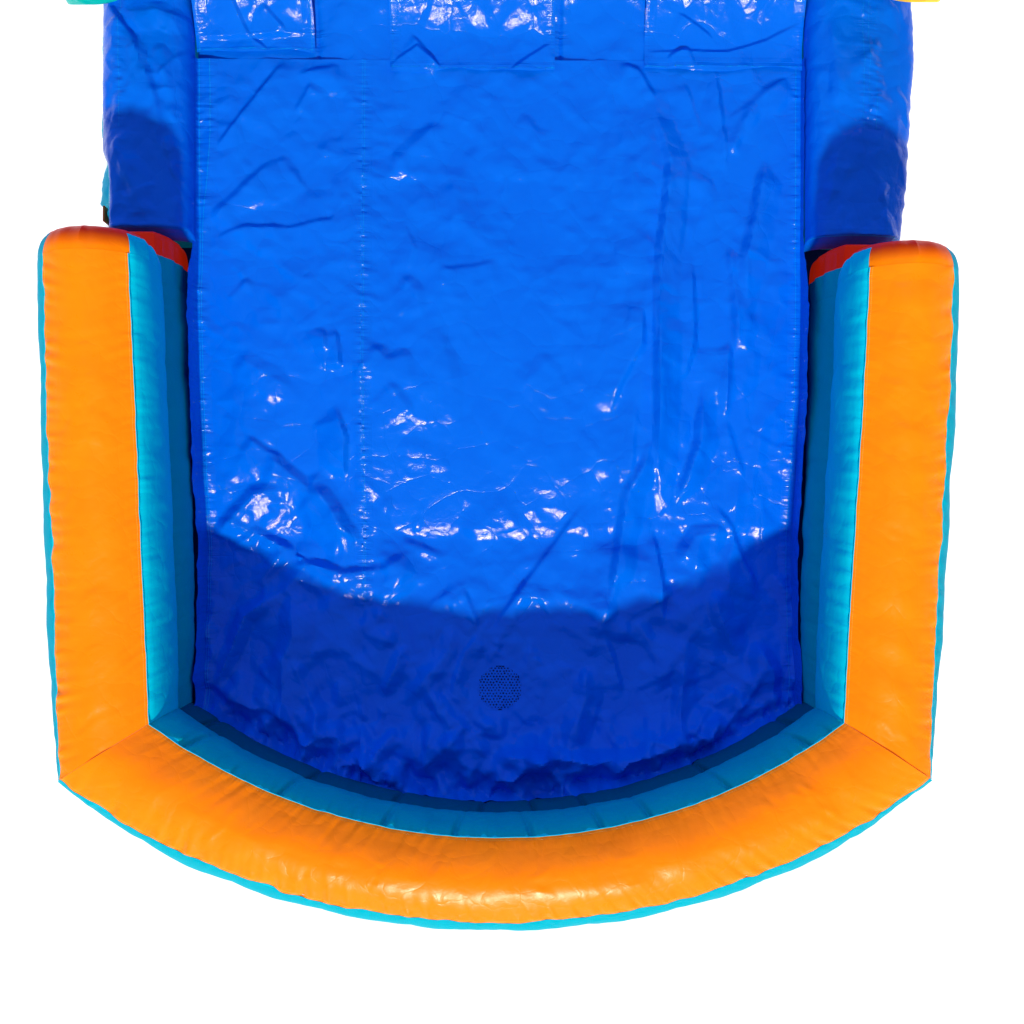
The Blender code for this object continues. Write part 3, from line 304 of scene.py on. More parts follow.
# Coated cloths: colour, second tone, painted glow (emission standing in for light through
# the film and for fill in the shade), roughness, index of refraction, crinkle size and height,
# weave, dust and thread. The caps' colour gives way to a deep one over the given reach from
# the seam: painted shade on the caps' backs, which face away from the key light.
film = dict(rough=0.4, ior=1.1, size=0.07, lift=0.0012, weave=0.03, dust=0.006, paintedGlow=(0.0, 0.0, 0.0))
cyan = dict(film, lift=0.0014)
blue = dict(film, weave=0.02, dust=0.0, paintedGlow=(0.0, 0.0, 0.02), colour=(0.0, 0.155, 0.84))
orange = dict(film, colour=(1.0, 0.30, 0.0), tone=(1.0, 0.25, 0.0))
finishes = {
    "orangeFilm": dict(orange, paintedGlow=(0.20, 0.012, 0.0), rough=0.3, ior=1.3, thread=(1.0, 0.42, 0.03)),
    # painted shade: the caps turn deep red towards their backs, which face away from the key light
    "capFilm": dict(orange, deep=(0.48, 0.008, 0.0), reach=(0.03, 0.068), paintedGlow=(0.20, 0.006, 0.0),
        rough=0.38, ior=1.2, size=0.06, thread=(1.0, 0.3, 0.03)),
    "cyanFilm": dict(cyan, colour=(0.0, 0.59, 0.79), tone=(0.0, 0.51, 0.74), paintedGlow=(0.0, 0.03, 0.05),
        thread=(0.0, 0.5, 0.72)),
    # a dimmer copy of the cyan film for the lobes' sunlit outer faces: painted shade
    "cyanOuterPaintedDim": dict(cyan, colour=(0.0, 0.44, 0.60), tone=(0.0, 0.38, 0.55), paintedGlow=(0.0, 0.02, 0.03),
        rough=0.45, ior=1.05, thread=(0.0, 0.5, 0.72)),
    # painted shade: darker copies of the cyan film for inner faces in the walls' shade, the deepest for the front
    # wall's lower lobe
    "cyanPaintedShade": dict(cyan, colour=(0.0, 0.46, 0.52), tone=(0.0, 0.40, 0.48), paintedGlow=(0.0, 0.0, 0.015),
        thread=(0.0, 0.42, 0.66)),
    "cyanPaintedDeepShade": dict(cyan, colour=(0.0, 0.12, 0.24), tone=(0.0, 0.10, 0.20), thread=(0.0, 0.2, 0.3)),
    "piping": dict(cyan, colour=(0.0, 0.6, 0.82), tone=(0.0, 0.5, 0.74), paintedGlow=(0.0, 0.03, 0.05),
        lift=0.0003, thread=(0.0, 0.5, 0.72)),
    "blueLiner": dict(blue, tone=(0.0, 0.12, 0.74), rough=0.12, ior=1.25, size=0.09, lift=0.0032,
        thread=(0.0, 0.27, 0.9)),
    "blueCover": dict(blue, tone=(0.0, 0.12, 0.76), rough=0.16, ior=1.2, size=0.08, lift=0.0026,
        thread=(0.0, 0.28, 0.92)),
    # painted shadow: a near-black colour for the liner under the drain, seen through the disc's holes
    "drainPaintedShadow": dict(film, colour=(0.0, 0.006, 0.06), tone=(0.0, 0.004, 0.04), rough=0.6, size=0.08,
        lift=0.0008, weave=0.1, dust=0.0, thread=(0.0, 0.01, 0.06)),
    "groundCloth": dict(film, colour=(0.0, 0.045, 0.24), tone=(0.0, 0.035, 0.18), rough=0.5, ior=1.3,
        size=0.08, weave=0.2, dust=0.1, thread=(0.05, 0.1, 0.3)),
    "greenFilm": dict(film, colour=(0.0, 0.52, 0.47), tone=(0.0, 0.45, 0.41), paintedGlow=(0.0, 0.02, 0.02),
        rough=0.34, ior=1.3, size=0.06, dust=0.01, thread=(0.1, 0.7, 0.62)),
    "yellowFilm": dict(film, colour=(1.0, 0.68, 0.012), tone=(0.98, 0.6, 0.008), paintedGlow=(0.08, 0.04, 0.0),
        rough=0.32, ior=1.38, size=0.06, dust=0.01, thread=(1.0, 0.8, 0.2)),
}


# A new material: its shader and node tree, Object coordinates, and its own wear.
class Finish:
    def __init__(self, name, dust=0.0):
        self.material = bpy.data.materials.new(name)
        self.material.use_nodes = True
        self.tree = self.material.node_tree
        self.shader = self.tree.nodes["Principled BSDF"]
        self.place = node(self.tree, "TexCoord").outputs["Object"]
        if dust is not None:
            self.age = node(self.tree, "Group", {}, node_tree=dustAndRub)
            self.tree.links.new(self.place, self.age.inputs["Vector"])
            self.age.inputs["Amount"].default_value = dust

    def lay(self, colour, rough, height, distance, strength=1.0):
        bump = node(self.tree, "Bump", {"Height": height, "Distance": distance, "Strength": strength})
        for source, socket in ((colour, "Base Color"), (rough, "Roughness"), (bump.outputs[0], "Normal")):
            self.tree.links.new(source, self.shader.inputs[socket])
        return self.material


# One coated cloth: two tones by the crinkles, stitches by the piece's seam map, paler
# rubbed edges beside the seams, dust, and a bump from crinkles, puckers and threads.
def filmFinish(name):
    look = finishes[name]
    new = Finish(name, look["dust"])
    tree, age = new.tree, new.age
    new.shader.inputs["IOR"].default_value = look["ior"]
    # painted glow: emission that lifts the film's shaded faces, though the film is no lamp
    new.shader.inputs["Emission Color"].default_value = (*look["paintedGlow"], 1)
    new.shader.inputs["Emission Strength"].default_value = 1.0
    seam = node(tree, "SeparateXYZ", {0: node(tree, "UVMap", uv_map="seam").outputs[0]})
    folds = node(tree, "Group", {}, node_tree=crinkle)
    tree.links.new(new.place, folds.inputs["Vector"])
    folds.inputs["Size"].default_value = look["size"]
    folds.inputs["Weave"].default_value = look["weave"]
    rows = node(tree, "Group", {}, node_tree=stitchRow)
    tree.links.new(seam.outputs["X"], rows.inputs["Along"])
    tree.links.new(seam.outputs["Y"], rows.inputs["Away"])
    base = blend(tree, folds.outputs["Tone"], look["colour"], look["tone"])
    # painted shade: a deep colour towards the caps' backs, by the distance from the seam
    if "deep" in look:
        base = blend(tree, ranged(tree, seam.outputs["Y"], *look["reach"]), base, look["deep"])
    edge = ranged(tree, seam.outputs["Y"], 0.0, 0.012, 0.1, 0.0)
    pale = [min(1.0, 1.35 * c + 0.01) for c in look["colour"]]
    rubbed = blend(tree, maths(tree, "MULTIPLY", edge, age.outputs["Rub"]), base, pale)
    dusty = blend(tree, age.outputs["Dust"], rubbed, (0.55, 0.52, 0.47))
    sewn = blend(tree, rows.outputs["Thread"], dusty, look["thread"])
    rough = ranged(tree, age.outputs["Rub"], 0.3, 0.7, look["rough"] * 0.85, look["rough"] * 1.25)
    ruck = maths(tree, "MULTIPLY_ADD", rows.outputs["Puckers"], 1.6, folds.outputs["Height"])
    raised = maths(tree, "MULTIPLY_ADD", rows.outputs["Thread"], 0.8, ruck)
    return new.lay(sewn, maths(tree, "ADD", rough, age.outputs["Dust"]), raised, look["lift"])


# Woven webbing: ribs across the strap and a herringbone of threads between them.
def webbingFinish(name, colour, shade):
    new = Finish(name, 0.35)
    tree, age = new.tree, new.age
    ribs = node(tree, "TexWave", {"Vector": new.place, "Scale": 260.0, "Distortion": 0.6}, bands_direction="Z")
    cross = node(tree, "TexWave", {"Vector": new.place, "Scale": 330.0, "Distortion": 0.4}, bands_direction="Y")
    weave = maths(tree, "MULTIPLY_ADD", cross.outputs["Fac"], 0.6, ribs.outputs["Fac"])
    tone = blend(tree, maths(tree, "MULTIPLY", weave, 0.6), shade, colour)
    dusty = blend(tree, age.outputs["Dust"], tone, (0.5, 0.46, 0.4))
    return new.lay(dusty, ranged(tree, age.outputs["Rub"], low=0.65, high=0.95), weave, 0.0004, 0.8)


# Bright zinc-plated wire or metal: brushed tone, scratches and darker spots of wear.
def metalFinish(name):
    new = Finish(name, 0.3)
    tree = new.tree
    new.shader.inputs["Metallic"].default_value = 1.0
    scratches = node(tree, "TexNoise", {"Vector": new.place, "Scale": 420.0, "Detail": 8.0, "Roughness": 0.7})
    tone = blend(tree, new.age.outputs["Rub"], (0.42, 0.43, 0.45), (0.78, 0.79, 0.8))
    rough = ranged(tree, scratches.outputs[0], low=0.16, high=0.42)
    return new.lay(tone, rough, scratches.outputs[0], 0.0001, 0.5)


# Zip: woven tape with two rows of moulded teeth along its middle.
def zipFinish(name, middleZ):
    new = Finish(name, None)
    tree = new.tree
    place = node(tree, "SeparateXYZ", {0: new.place})
    away = maths(tree, "ABSOLUTE", maths(tree, "SUBTRACT", place.outputs["Z"], middleZ))
    belt = maths(tree, "LESS_THAN", away, 0.0045)
    beat = maths(tree, "SINE", maths(tree, "MULTIPLY", place.outputs["Y"], 2 * math.pi / 0.003))
    tooth = maths(tree, "MULTIPLY", maths(tree, "GREATER_THAN", beat, -0.2), belt)
    weft = node(tree, "TexWave", {"Vector": new.place, "Scale": 500.0}, bands_direction="Y").outputs["Fac"]
    tape = blend(tree, weft, (0.012, 0.013, 0.016), (0.035, 0.037, 0.042))
    both = blend(tree, tooth, tape, (0.07, 0.07, 0.075))
    rough = ranged(tree, tooth, low=0.85, high=0.35)
    return new.lay(both, rough, maths(tree, "MULTIPLY_ADD", weft, 0.15, tooth), 0.0008)


materials = {name: filmFinish(name) for name in finishes}
materials["webbing"] = webbingFinish("webbing", (0.86, 0.2, 0.02), (0.5, 0.09, 0.01))
materials["steel"] = metalFinish("steel")
materials["zipTape"] = zipFinish("zipTape", 0.105)
print("materials:", len(materials))


# Pool walls: two stacked lobes and an orange band on top, round three sides
pool = {
    "halfWidth": 0.825,
    "bandWidth": 0.21,
    "capY": {-1: 0.66, 1: 0.632},
    "innerCornerY": -0.42,
    "outerCornerY": -0.552,
    "innerFrontY": -0.6875,
    "outerFrontY": -0.894,
    "frontTuck": 0.008,
    "frontHeight": 0.436,
    "backHeight": 0.57,
    "upperDepth": 0.26,
    "crown": 0.042,
    "headDrop": 0.007,
    "seamLean": 0.016,
    "footShares": (0.16, 0.84),
    "waistShares": (0.10, 0.90),
    "outerBulge": (0.26, 0.31),  # lower lobe, upper lobe
    "frontInnerBulge": (0.17, 0.17),
    "sideInnerBulge": (0.22, 0.20),
    "gather": 0.078,
    "cornerLean": 0.017,  # the right front corner leans in by up to this
    "lobePuckers": (0.0034, 0.0026),  # front wall, side walls
    "bandPuckers": (0.0008, 0.0032),  # inner edge, outer edge
    "bandFlatWidth": 0.235,
    "bandThickness": 0.0025,
    "cordRadius": 0.0013,
    "deck": 0.0033,
    "gap": 0.0003,
    # drawn-in tucks of the front wall's inner lobes, as shares of the half width
    "lowerTucks": (-0.93, -0.597, -0.336, -0.071, 0.116, 0.272, 0.653, 0.93),
    "upperTucks": (-0.9, -0.63, -0.336, -0.132, 0.09, 0.293, 0.433, 0.664, 0.9),
}
outerX = pool["halfWidth"] + pool["bandWidth"]


# y on the arc through (+-half, endY) and (0, middleY)
def arcY(x, half, endY, middleY):
    sagitta = endY - middleY
    radius = (half**2 + sagitta**2) / (2 * sagitta)
    return middleY + radius - np.sqrt(radius**2 - x**2)


def innerFrontY(x):
    return arcY(x, pool["halfWidth"], pool["innerCornerY"], pool["innerFrontY"])


# inner seam, outer seam and seam height along a wall, at shares t of its length
def wallPath(side, t):
    if side == 0:
        across = 2 * t - 1
        innerX, edgeX = across * pool["halfWidth"], across * outerX
        innerY = innerFrontY(innerX) - 2 * pool["gap"]
        frontY = pool["outerFrontY"] + pool["frontTuck"]
        edgeY = arcY(edgeX, outerX, pool["outerCornerY"], frontY) - 2 * pool["gap"]
        top = np.full(t.shape, pool["frontHeight"])
    else:
        innerX = side * (pool["halfWidth"] + pool["seamLean"] * t)
        edgeX = np.full(t.shape, side * outerX)
        innerY = mix(pool["innerCornerY"], pool["capY"][side], t)
        edgeY = mix(pool["outerCornerY"], pool["capY"][side], t)
        top = mix(pool["frontHeight"], pool["backHeight"], t)
    for x, y in ((innerX, innerY), (edgeX, edgeY)):
        x -= pool["cornerLean"] * np.clip(x / outerX, 0, 1) ** 2 * smoothStep((0.5 - y) / 0.9)
    return joined(innerX, innerY), joined(edgeX, edgeY), top


# One turn round a lobe: foot, outer side, head, inner side. Sideways a point is its share
# of the wall's width plus bulge * sin(pi t); upwards it runs from seam to seam, eased so
# that the skin leaves the seams steeply.
def lobeTurn(lower, counts=(6, 30, 16, 30)):
    low = pool["footShares"] if lower else pool["waistShares"]
    high = pool["waistShares"] if lower else (0.0, 1.0)
    foot, outer, head, inner = (np.linspace(0, 1, n, endpoint=False) for n in counts)
    inner = 1 - inner

    def eased(t):
        return mix(t, (1 - np.cos(math.pi * t)) / 2, 0.3)

    def around(*parts):
        return np.concatenate([part + np.zeros(n) for part, n in zip(parts, counts)])

    return {
        "share": around(
            mix(low[0], low[1], foot), mix(low[1], high[1], outer), mix(high[1], high[0], head),
            mix(low[0], high[0], inner)),
        "out": around(0, np.sin(math.pi * outer), 0, 0),
        "in": around(0, 0, 0, np.sin(math.pi * inner) ** (0.9 if lower else 0.6)),
        "level": around(0, eased(outer), 1, eased(inner)),
        "crown": around(0, 0, np.sin(math.pi * head), 0),
        "t": around(0, outer, 1, inner),
        "hand": around(0, 1, 0, -1),
    }


# Rings of a lobe along its wall. The bulge narrows at the inner baffles, which are bays
# apart; the skin is puckered beside its seams, tucked in places, and gently wavy.
def lobeRings(side, t, lower, bays, seed, covered=True):
    turn = lobeTurn(lower)
    inner, edge, top = wallPath(side, t)
    waist = top - pool["upperDepth"]
    low = np.full(t.shape, pool["deck"]) if lower else waist + 0.0008
    high = waist if lower else top - 0.0033 * covered
    which = 0 if lower else 1
    length = runLength(edge)
    gather = 1 - pool["gather"] * (1 - np.abs(np.sin(math.pi * bays * t)) ** 0.55)
    innerBulge = np.full(t.shape, pool["frontInnerBulge"][which])
    if side:
        innerBulge = mix(innerBulge, pool["sideInnerBulge"][which], smoothStep(t / 0.2))
    height = (high - low)[:, None]
    away = np.minimum(turn["t"], 1 - turn["t"]) * height
    along = np.broadcast_to(length[:, None], away.shape)
    deep = pool["lobePuckers"][1 if side else 0]
    ruck = waves(along, turn["level"] * 0.02, 0.045, seed, 2) * deep * np.exp(-away / 0.028)
    climbed = turn["t"] * height
    skinWaves = waves(along, climbed + turn["hand"], 0.22, seed + 1, 3) * 0.0014
    area = (0, length[-1]), (-2, 2.4)
    fold = crumple(along, climbed + turn["hand"] * 2, area, 150, seed + 2, (0.006, 0.03), (0.03, 0.12))
    push = ruck + (skinWaves + fold) * np.sin(math.pi * turn["t"])
    if side == 0:
        for place in pool["lowerTucks"] if lower else pool["upperTucks"]:
            spot = (2 * t - 1 - place)[:, None] * pool["halfWidth"]
            lean = spot + 0.03 * (1 - turn["t"]) * (1 if place > 0 else -1)
            tuck = 0.022 * np.exp(-((lean / 0.0065) ** 2))
            tuck = tuck - 0.004 * np.exp(-(((lean - 0.016) / 0.012) ** 2))
            push = push - tuck * np.exp(-(1 - turn["t"]) * height / 0.075) * (turn["hand"] < 0)
    taper = smoothStep(t / 0.35) if side else smoothStep(np.minimum(t, 1 - t) / 0.14)
    outerBulge = pool["outerBulge"][which] * mix(0.7, 1.0, taper)
    bulge = outerBulge[:, None] * turn["out"] - innerBulge[:, None] * turn["in"]
    share = turn["share"] + gather[:, None] * bulge + push * turn["hand"] / pool["bandWidth"]
    flat = inner[:, None] + (edge - inner)[:, None] * share[..., None]
    crown = 0 if lower else pool["crown"] - pool["headDrop"] * covered
    z = mix(low[:, None], high[:, None], turn["level"]) + crown * turn["crown"] ** (1.3 if covered else 0.9)
    seam = joined(along, away + 0.004)
    return np.concatenate((flat, z[..., None]), -1), seam


# The band: across the wall it is an arch of crown * sin(pi t), with wavy sewn edges that
# pucker the film beside them.
def bandFace(side, t, seed, columns=37):
    inner, edge, top = wallPath(side, t)
    across = np.linspace(1, 0, columns)[None, :]
    length = runLength(edge)[:, None]
    along = np.broadcast_to(length, (t.size, columns))
    away = np.minimum(across, 1 - across) * pool["bandWidth"] + along * 0
    scallop = waves(along, 0 * away, 0.11, seed, 2) * mix(0.0006, 0.0022, across)
    share = across + (scallop * (2 * across - 1) * np.abs(2 * across - 1) ** 3) / pool["bandWidth"]
    ruck = waves(along + away * 0.4, away * 0.1, 0.034, seed + 1, 3) * mix(*pool["bandPuckers"], across)
    ruck = ruck * np.exp(-away / 0.03) * smoothStep(away / 0.004 + 0.2)
    swell = waves(along, away, 0.25, seed + 2, 2) * 0.0022
    fold = crumple(along, away, ((0, length[-1, 0]), (0, 0.1)), 90, seed + 3, (0.004, 0.018), (0.04, 0.14))
    arch = np.sin(math.pi * across)
    z = top[:, None] + pool["crown"] * arch**0.9 + ruck + (swell + fold) * arch
    flat = inner[:, None] + (edge - inner)[:, None] * share[..., None]
    return np.concatenate((flat, z[..., None]), -1), joined(along, away - 0.006)


# a round cord along a line of points: rings square to the line
def cordSkin(name, line, radius, finish, around=8, **more):
    line = np.asarray(line, float)
    ahead = np.gradient(line, axis=0)
    ahead /= np.linalg.norm(ahead, axis=1)[:, None]
    sideways = np.cross(ahead, (0, 0, 1))
    sideways /= np.linalg.norm(sideways, axis=1)[:, None]
    up = np.cross(sideways, ahead)
    turn = np.linspace(0, 2 * math.pi, around, endpoint=False)
    radius = np.broadcast_to(radius, len(line))[:, None, None]
    ring = np.cos(turn)[None, :, None] * sideways[:, None] + np.sin(turn)[None, :, None] * up[:, None]
    return skin(name, line[:, None] + radius * ring, finish, **more)


lastRings = {}


def buildWall(side, name, rows, bays, seed):
    t = np.linspace(0, 1, rows)
    for lower in (True, False):
        level = "lower" if lower else "upper"
        rings, seam = lobeRings(side, t, lower, bays, seed + 10 * lower)
        lastRings[side, lower] = rings[-1]
        tube = skin(f"{name}_wall_{level}_lobe", rings, materials["cyanFilm"], seam)
        quads = np.arange((rows - 1) * rings.shape[1])
        hand = lobeTurn(lower)["hand"][quads % rings.shape[1]]
        # painted shade: inner faces in shade take darker copies of the film, and outer faces a dimmer painted copy
        order = np.zeros(len(tube.data.polygons), int)
        order[:quads.size] = np.where(hand > 0, 2, (hand < 0) & (lower or side == 0))
        tube.data.materials.append(materials["cyanPaintedDeepShade" if lower and side == 0 else "cyanPaintedShade"])
        tube.data.materials.append(materials["cyanOuterPaintedDim"])
        tube.data.polygons.foreach_set("material_index", order)
        standsFor(f"{name}_wall_{level}_tube")
    face, seam = bandFace(side, t, seed + 5)
    down = np.array((0, 0, -pool["bandThickness"]))
    band = sheetSkin(f"{name}_wall_band", face, down, materials["orangeFilm"], uv=seam)
    standsFor(f"{name}_wall_top_band")
    for edgeName, column in (("outer", 0), ("inner", -1)):
        line = face[:, column] + (0, 0, 0.0005)
        cord = cordSkin(f"{name}_{edgeName}_piping", line, pool["cordRadius"], materials["piping"])


# A rounded end: the lobe's section shrinks by a power of cos(a), 0.07 for the lower lobe
# and 0.32 for the upper, while it moves out by length * sin(a), with puckers that fade
# away from the sewn rim. The sides stay cyan up to the angle sideTurn, in painted copies:
# a dimmer one outside, and painted shade inside on the lower lobe.
def buildEnd(side, name, lower, length, sideTurn):
    level = "lower" if lower else "upper"
    turn = lobeTurn(lower)
    start = pool["capY"][side] + pool["gap"]
    rings, _ = lobeRings(side, np.array((0.999, 1.0)), lower, 0, 3, covered=False)
    ring = lastRings[side, lower] * (1, 0, 1) + (0, start, 0)
    ring[turn["crown"] > 0, 2] = rings[1][turn["crown"] > 0, 2]
    middle = ring.mean(0)
    angles = np.linspace(0, math.pi / 2, 33)[:-1]
    angle = angles[:, None, None]
    size = np.cos(angle) ** (0.07 if lower else 0.32)
    columns = ring.shape[0]
    places = np.linspace(0, 2 * math.pi, columns, endpoint=False)
    reach = length * np.sin(angle)
    puckers = waves(np.cos(places) * 2, np.sin(places) * 2, 0.6, 40 + lower, 3)
    ruck = 1 + 0.02 * np.sin(angle * 2) * puckers[None, :, None]
    rings = middle + (ring - middle)[None] * size * ruck + reach * np.array((0, 1, 0))
    rings[..., 2] = np.maximum(rings[..., 2], 0.0034)
    seam = joined(places[None] * 0.15, reach[..., 0] + (0.05 if lower else 0.02))
    end = skin(f"{name}_wall_{level}_cap", rings, materials["capFilm"], seam)
    for finish in ("cyanOuterPaintedDim", "cyanPaintedShade" if lower else "cyanFilm"):
        end.data.materials.append(materials[finish])
    quads = np.arange((angles.size - 1) * columns)
    atSide = (turn["hand"][quads % columns] != 0) & (angles[quads // columns] < sideTurn)
    cyan = np.where(turn["hand"] < 0, 2, 1)
    order = np.zeros(len(end.data.polygons), int)
    order[:quads.size] = atSide * cyan[quads % columns]
    order[quads.size:quads.size + columns] = (turn["hand"] != 0) * cyan
    end.data.polygons.foreach_set("material_index", order)
    standsFor(f"{name}_wall_{level}_end")


buildWall(0, "front", 420, 10, 100)
for side, name in sides:
    buildWall(side, name, 220, 5, 200 + side)
    buildEnd(side, name, True, 0.126, 0.5)
    buildEnd(side, name, False, 0.067, 0.8)
print("pool walls done")


# The liner: the pool's floor sheet, run on over the landing
liner = {
    "halfWidth": 0.799,
    "landingHalfWidth": 0.7965,
    "edgeRise": (0.075, 0.035),  # beside the walls, beside the bolsters
    "edgeLean": {-1: 0.008, 1: 0.001},
    "frontInset": -0.004,
    "frontRise": 0.036,
    "frontReach": 0.10,
    "backY": 1.2797,
    "drain": (0.0, -0.39),
    "seamX": (-0.3775, -0.362),  # where the two widths are joined, front and back
    "stitchFrontY": -0.16,
    "turnIn": (0.08, 0.04),  # of the flat sheets, across and along
    "area": ((-0.82, 0.82), (-0.68, 1.28)),
}
drain = {
    "pitch": 0.0088, "hole": 0.0026, "reach": 0.0595, "rim": 0.062, "paintedShadowRadius": 0.058,
    "flat": 0.12, "area": 0.0098,
}

# lane height over the ground sheet: 1 - (1 - t)^2 up to the landing, a gentle rise along
# it, then a parabola, a straight slope and another parabola up to the platform
slope = {
    "runoutY": 0.0, "landingY": 0.812, "footY": 1.28, "landing": 0.13, "rise": 0.025,
    "angle": math.radians(35), "footBlend": 0.22, "headBlend": 0.16, "platform": 1.30,
    "platformLength": 0.55, "climbRun": 0.62,
}
steepness = math.tan(slope["angle"])
blends = slope["footBlend"] + slope["headBlend"]
straightRun = (slope["platform"] - slope["landing"] - slope["rise"]) / steepness - blends / 2
slideTopY = slope["footY"] + slope["footBlend"] + straightRun + slope["headBlend"]
climbTopY = slideTopY + slope["platformLength"]
climbFootY = climbTopY + slope["climbRun"]


def laneHeight(y):
    y = np.asarray(y, float)
    run = np.clip((y - slope["runoutY"]) / (slope["landingY"] - slope["runoutY"]), 0, 1)
    rise = slope["landing"] * (1 - (1 - run) ** 2) * smoothStep(run * 16)
    onLanding = (y - slope["landingY"]) / (slope["footY"] - slope["landingY"])
    rise = rise + slope["rise"] * np.clip(onLanding, 0, 1)
    run = np.clip(y - slope["footY"], 0, None)
    foot = steepness * run**2 / (2 * slope["footBlend"])
    straight = steepness * (run - slope["footBlend"] / 2)
    head = slope["platform"] - steepness * np.clip(slideTopY - y, 0, None) ** 2 / (2 * slope["headBlend"])
    rise = rise + np.where(run < slope["footBlend"], foot, straight)
    return np.where(run > slope["footBlend"] + straightRun, head, rise)


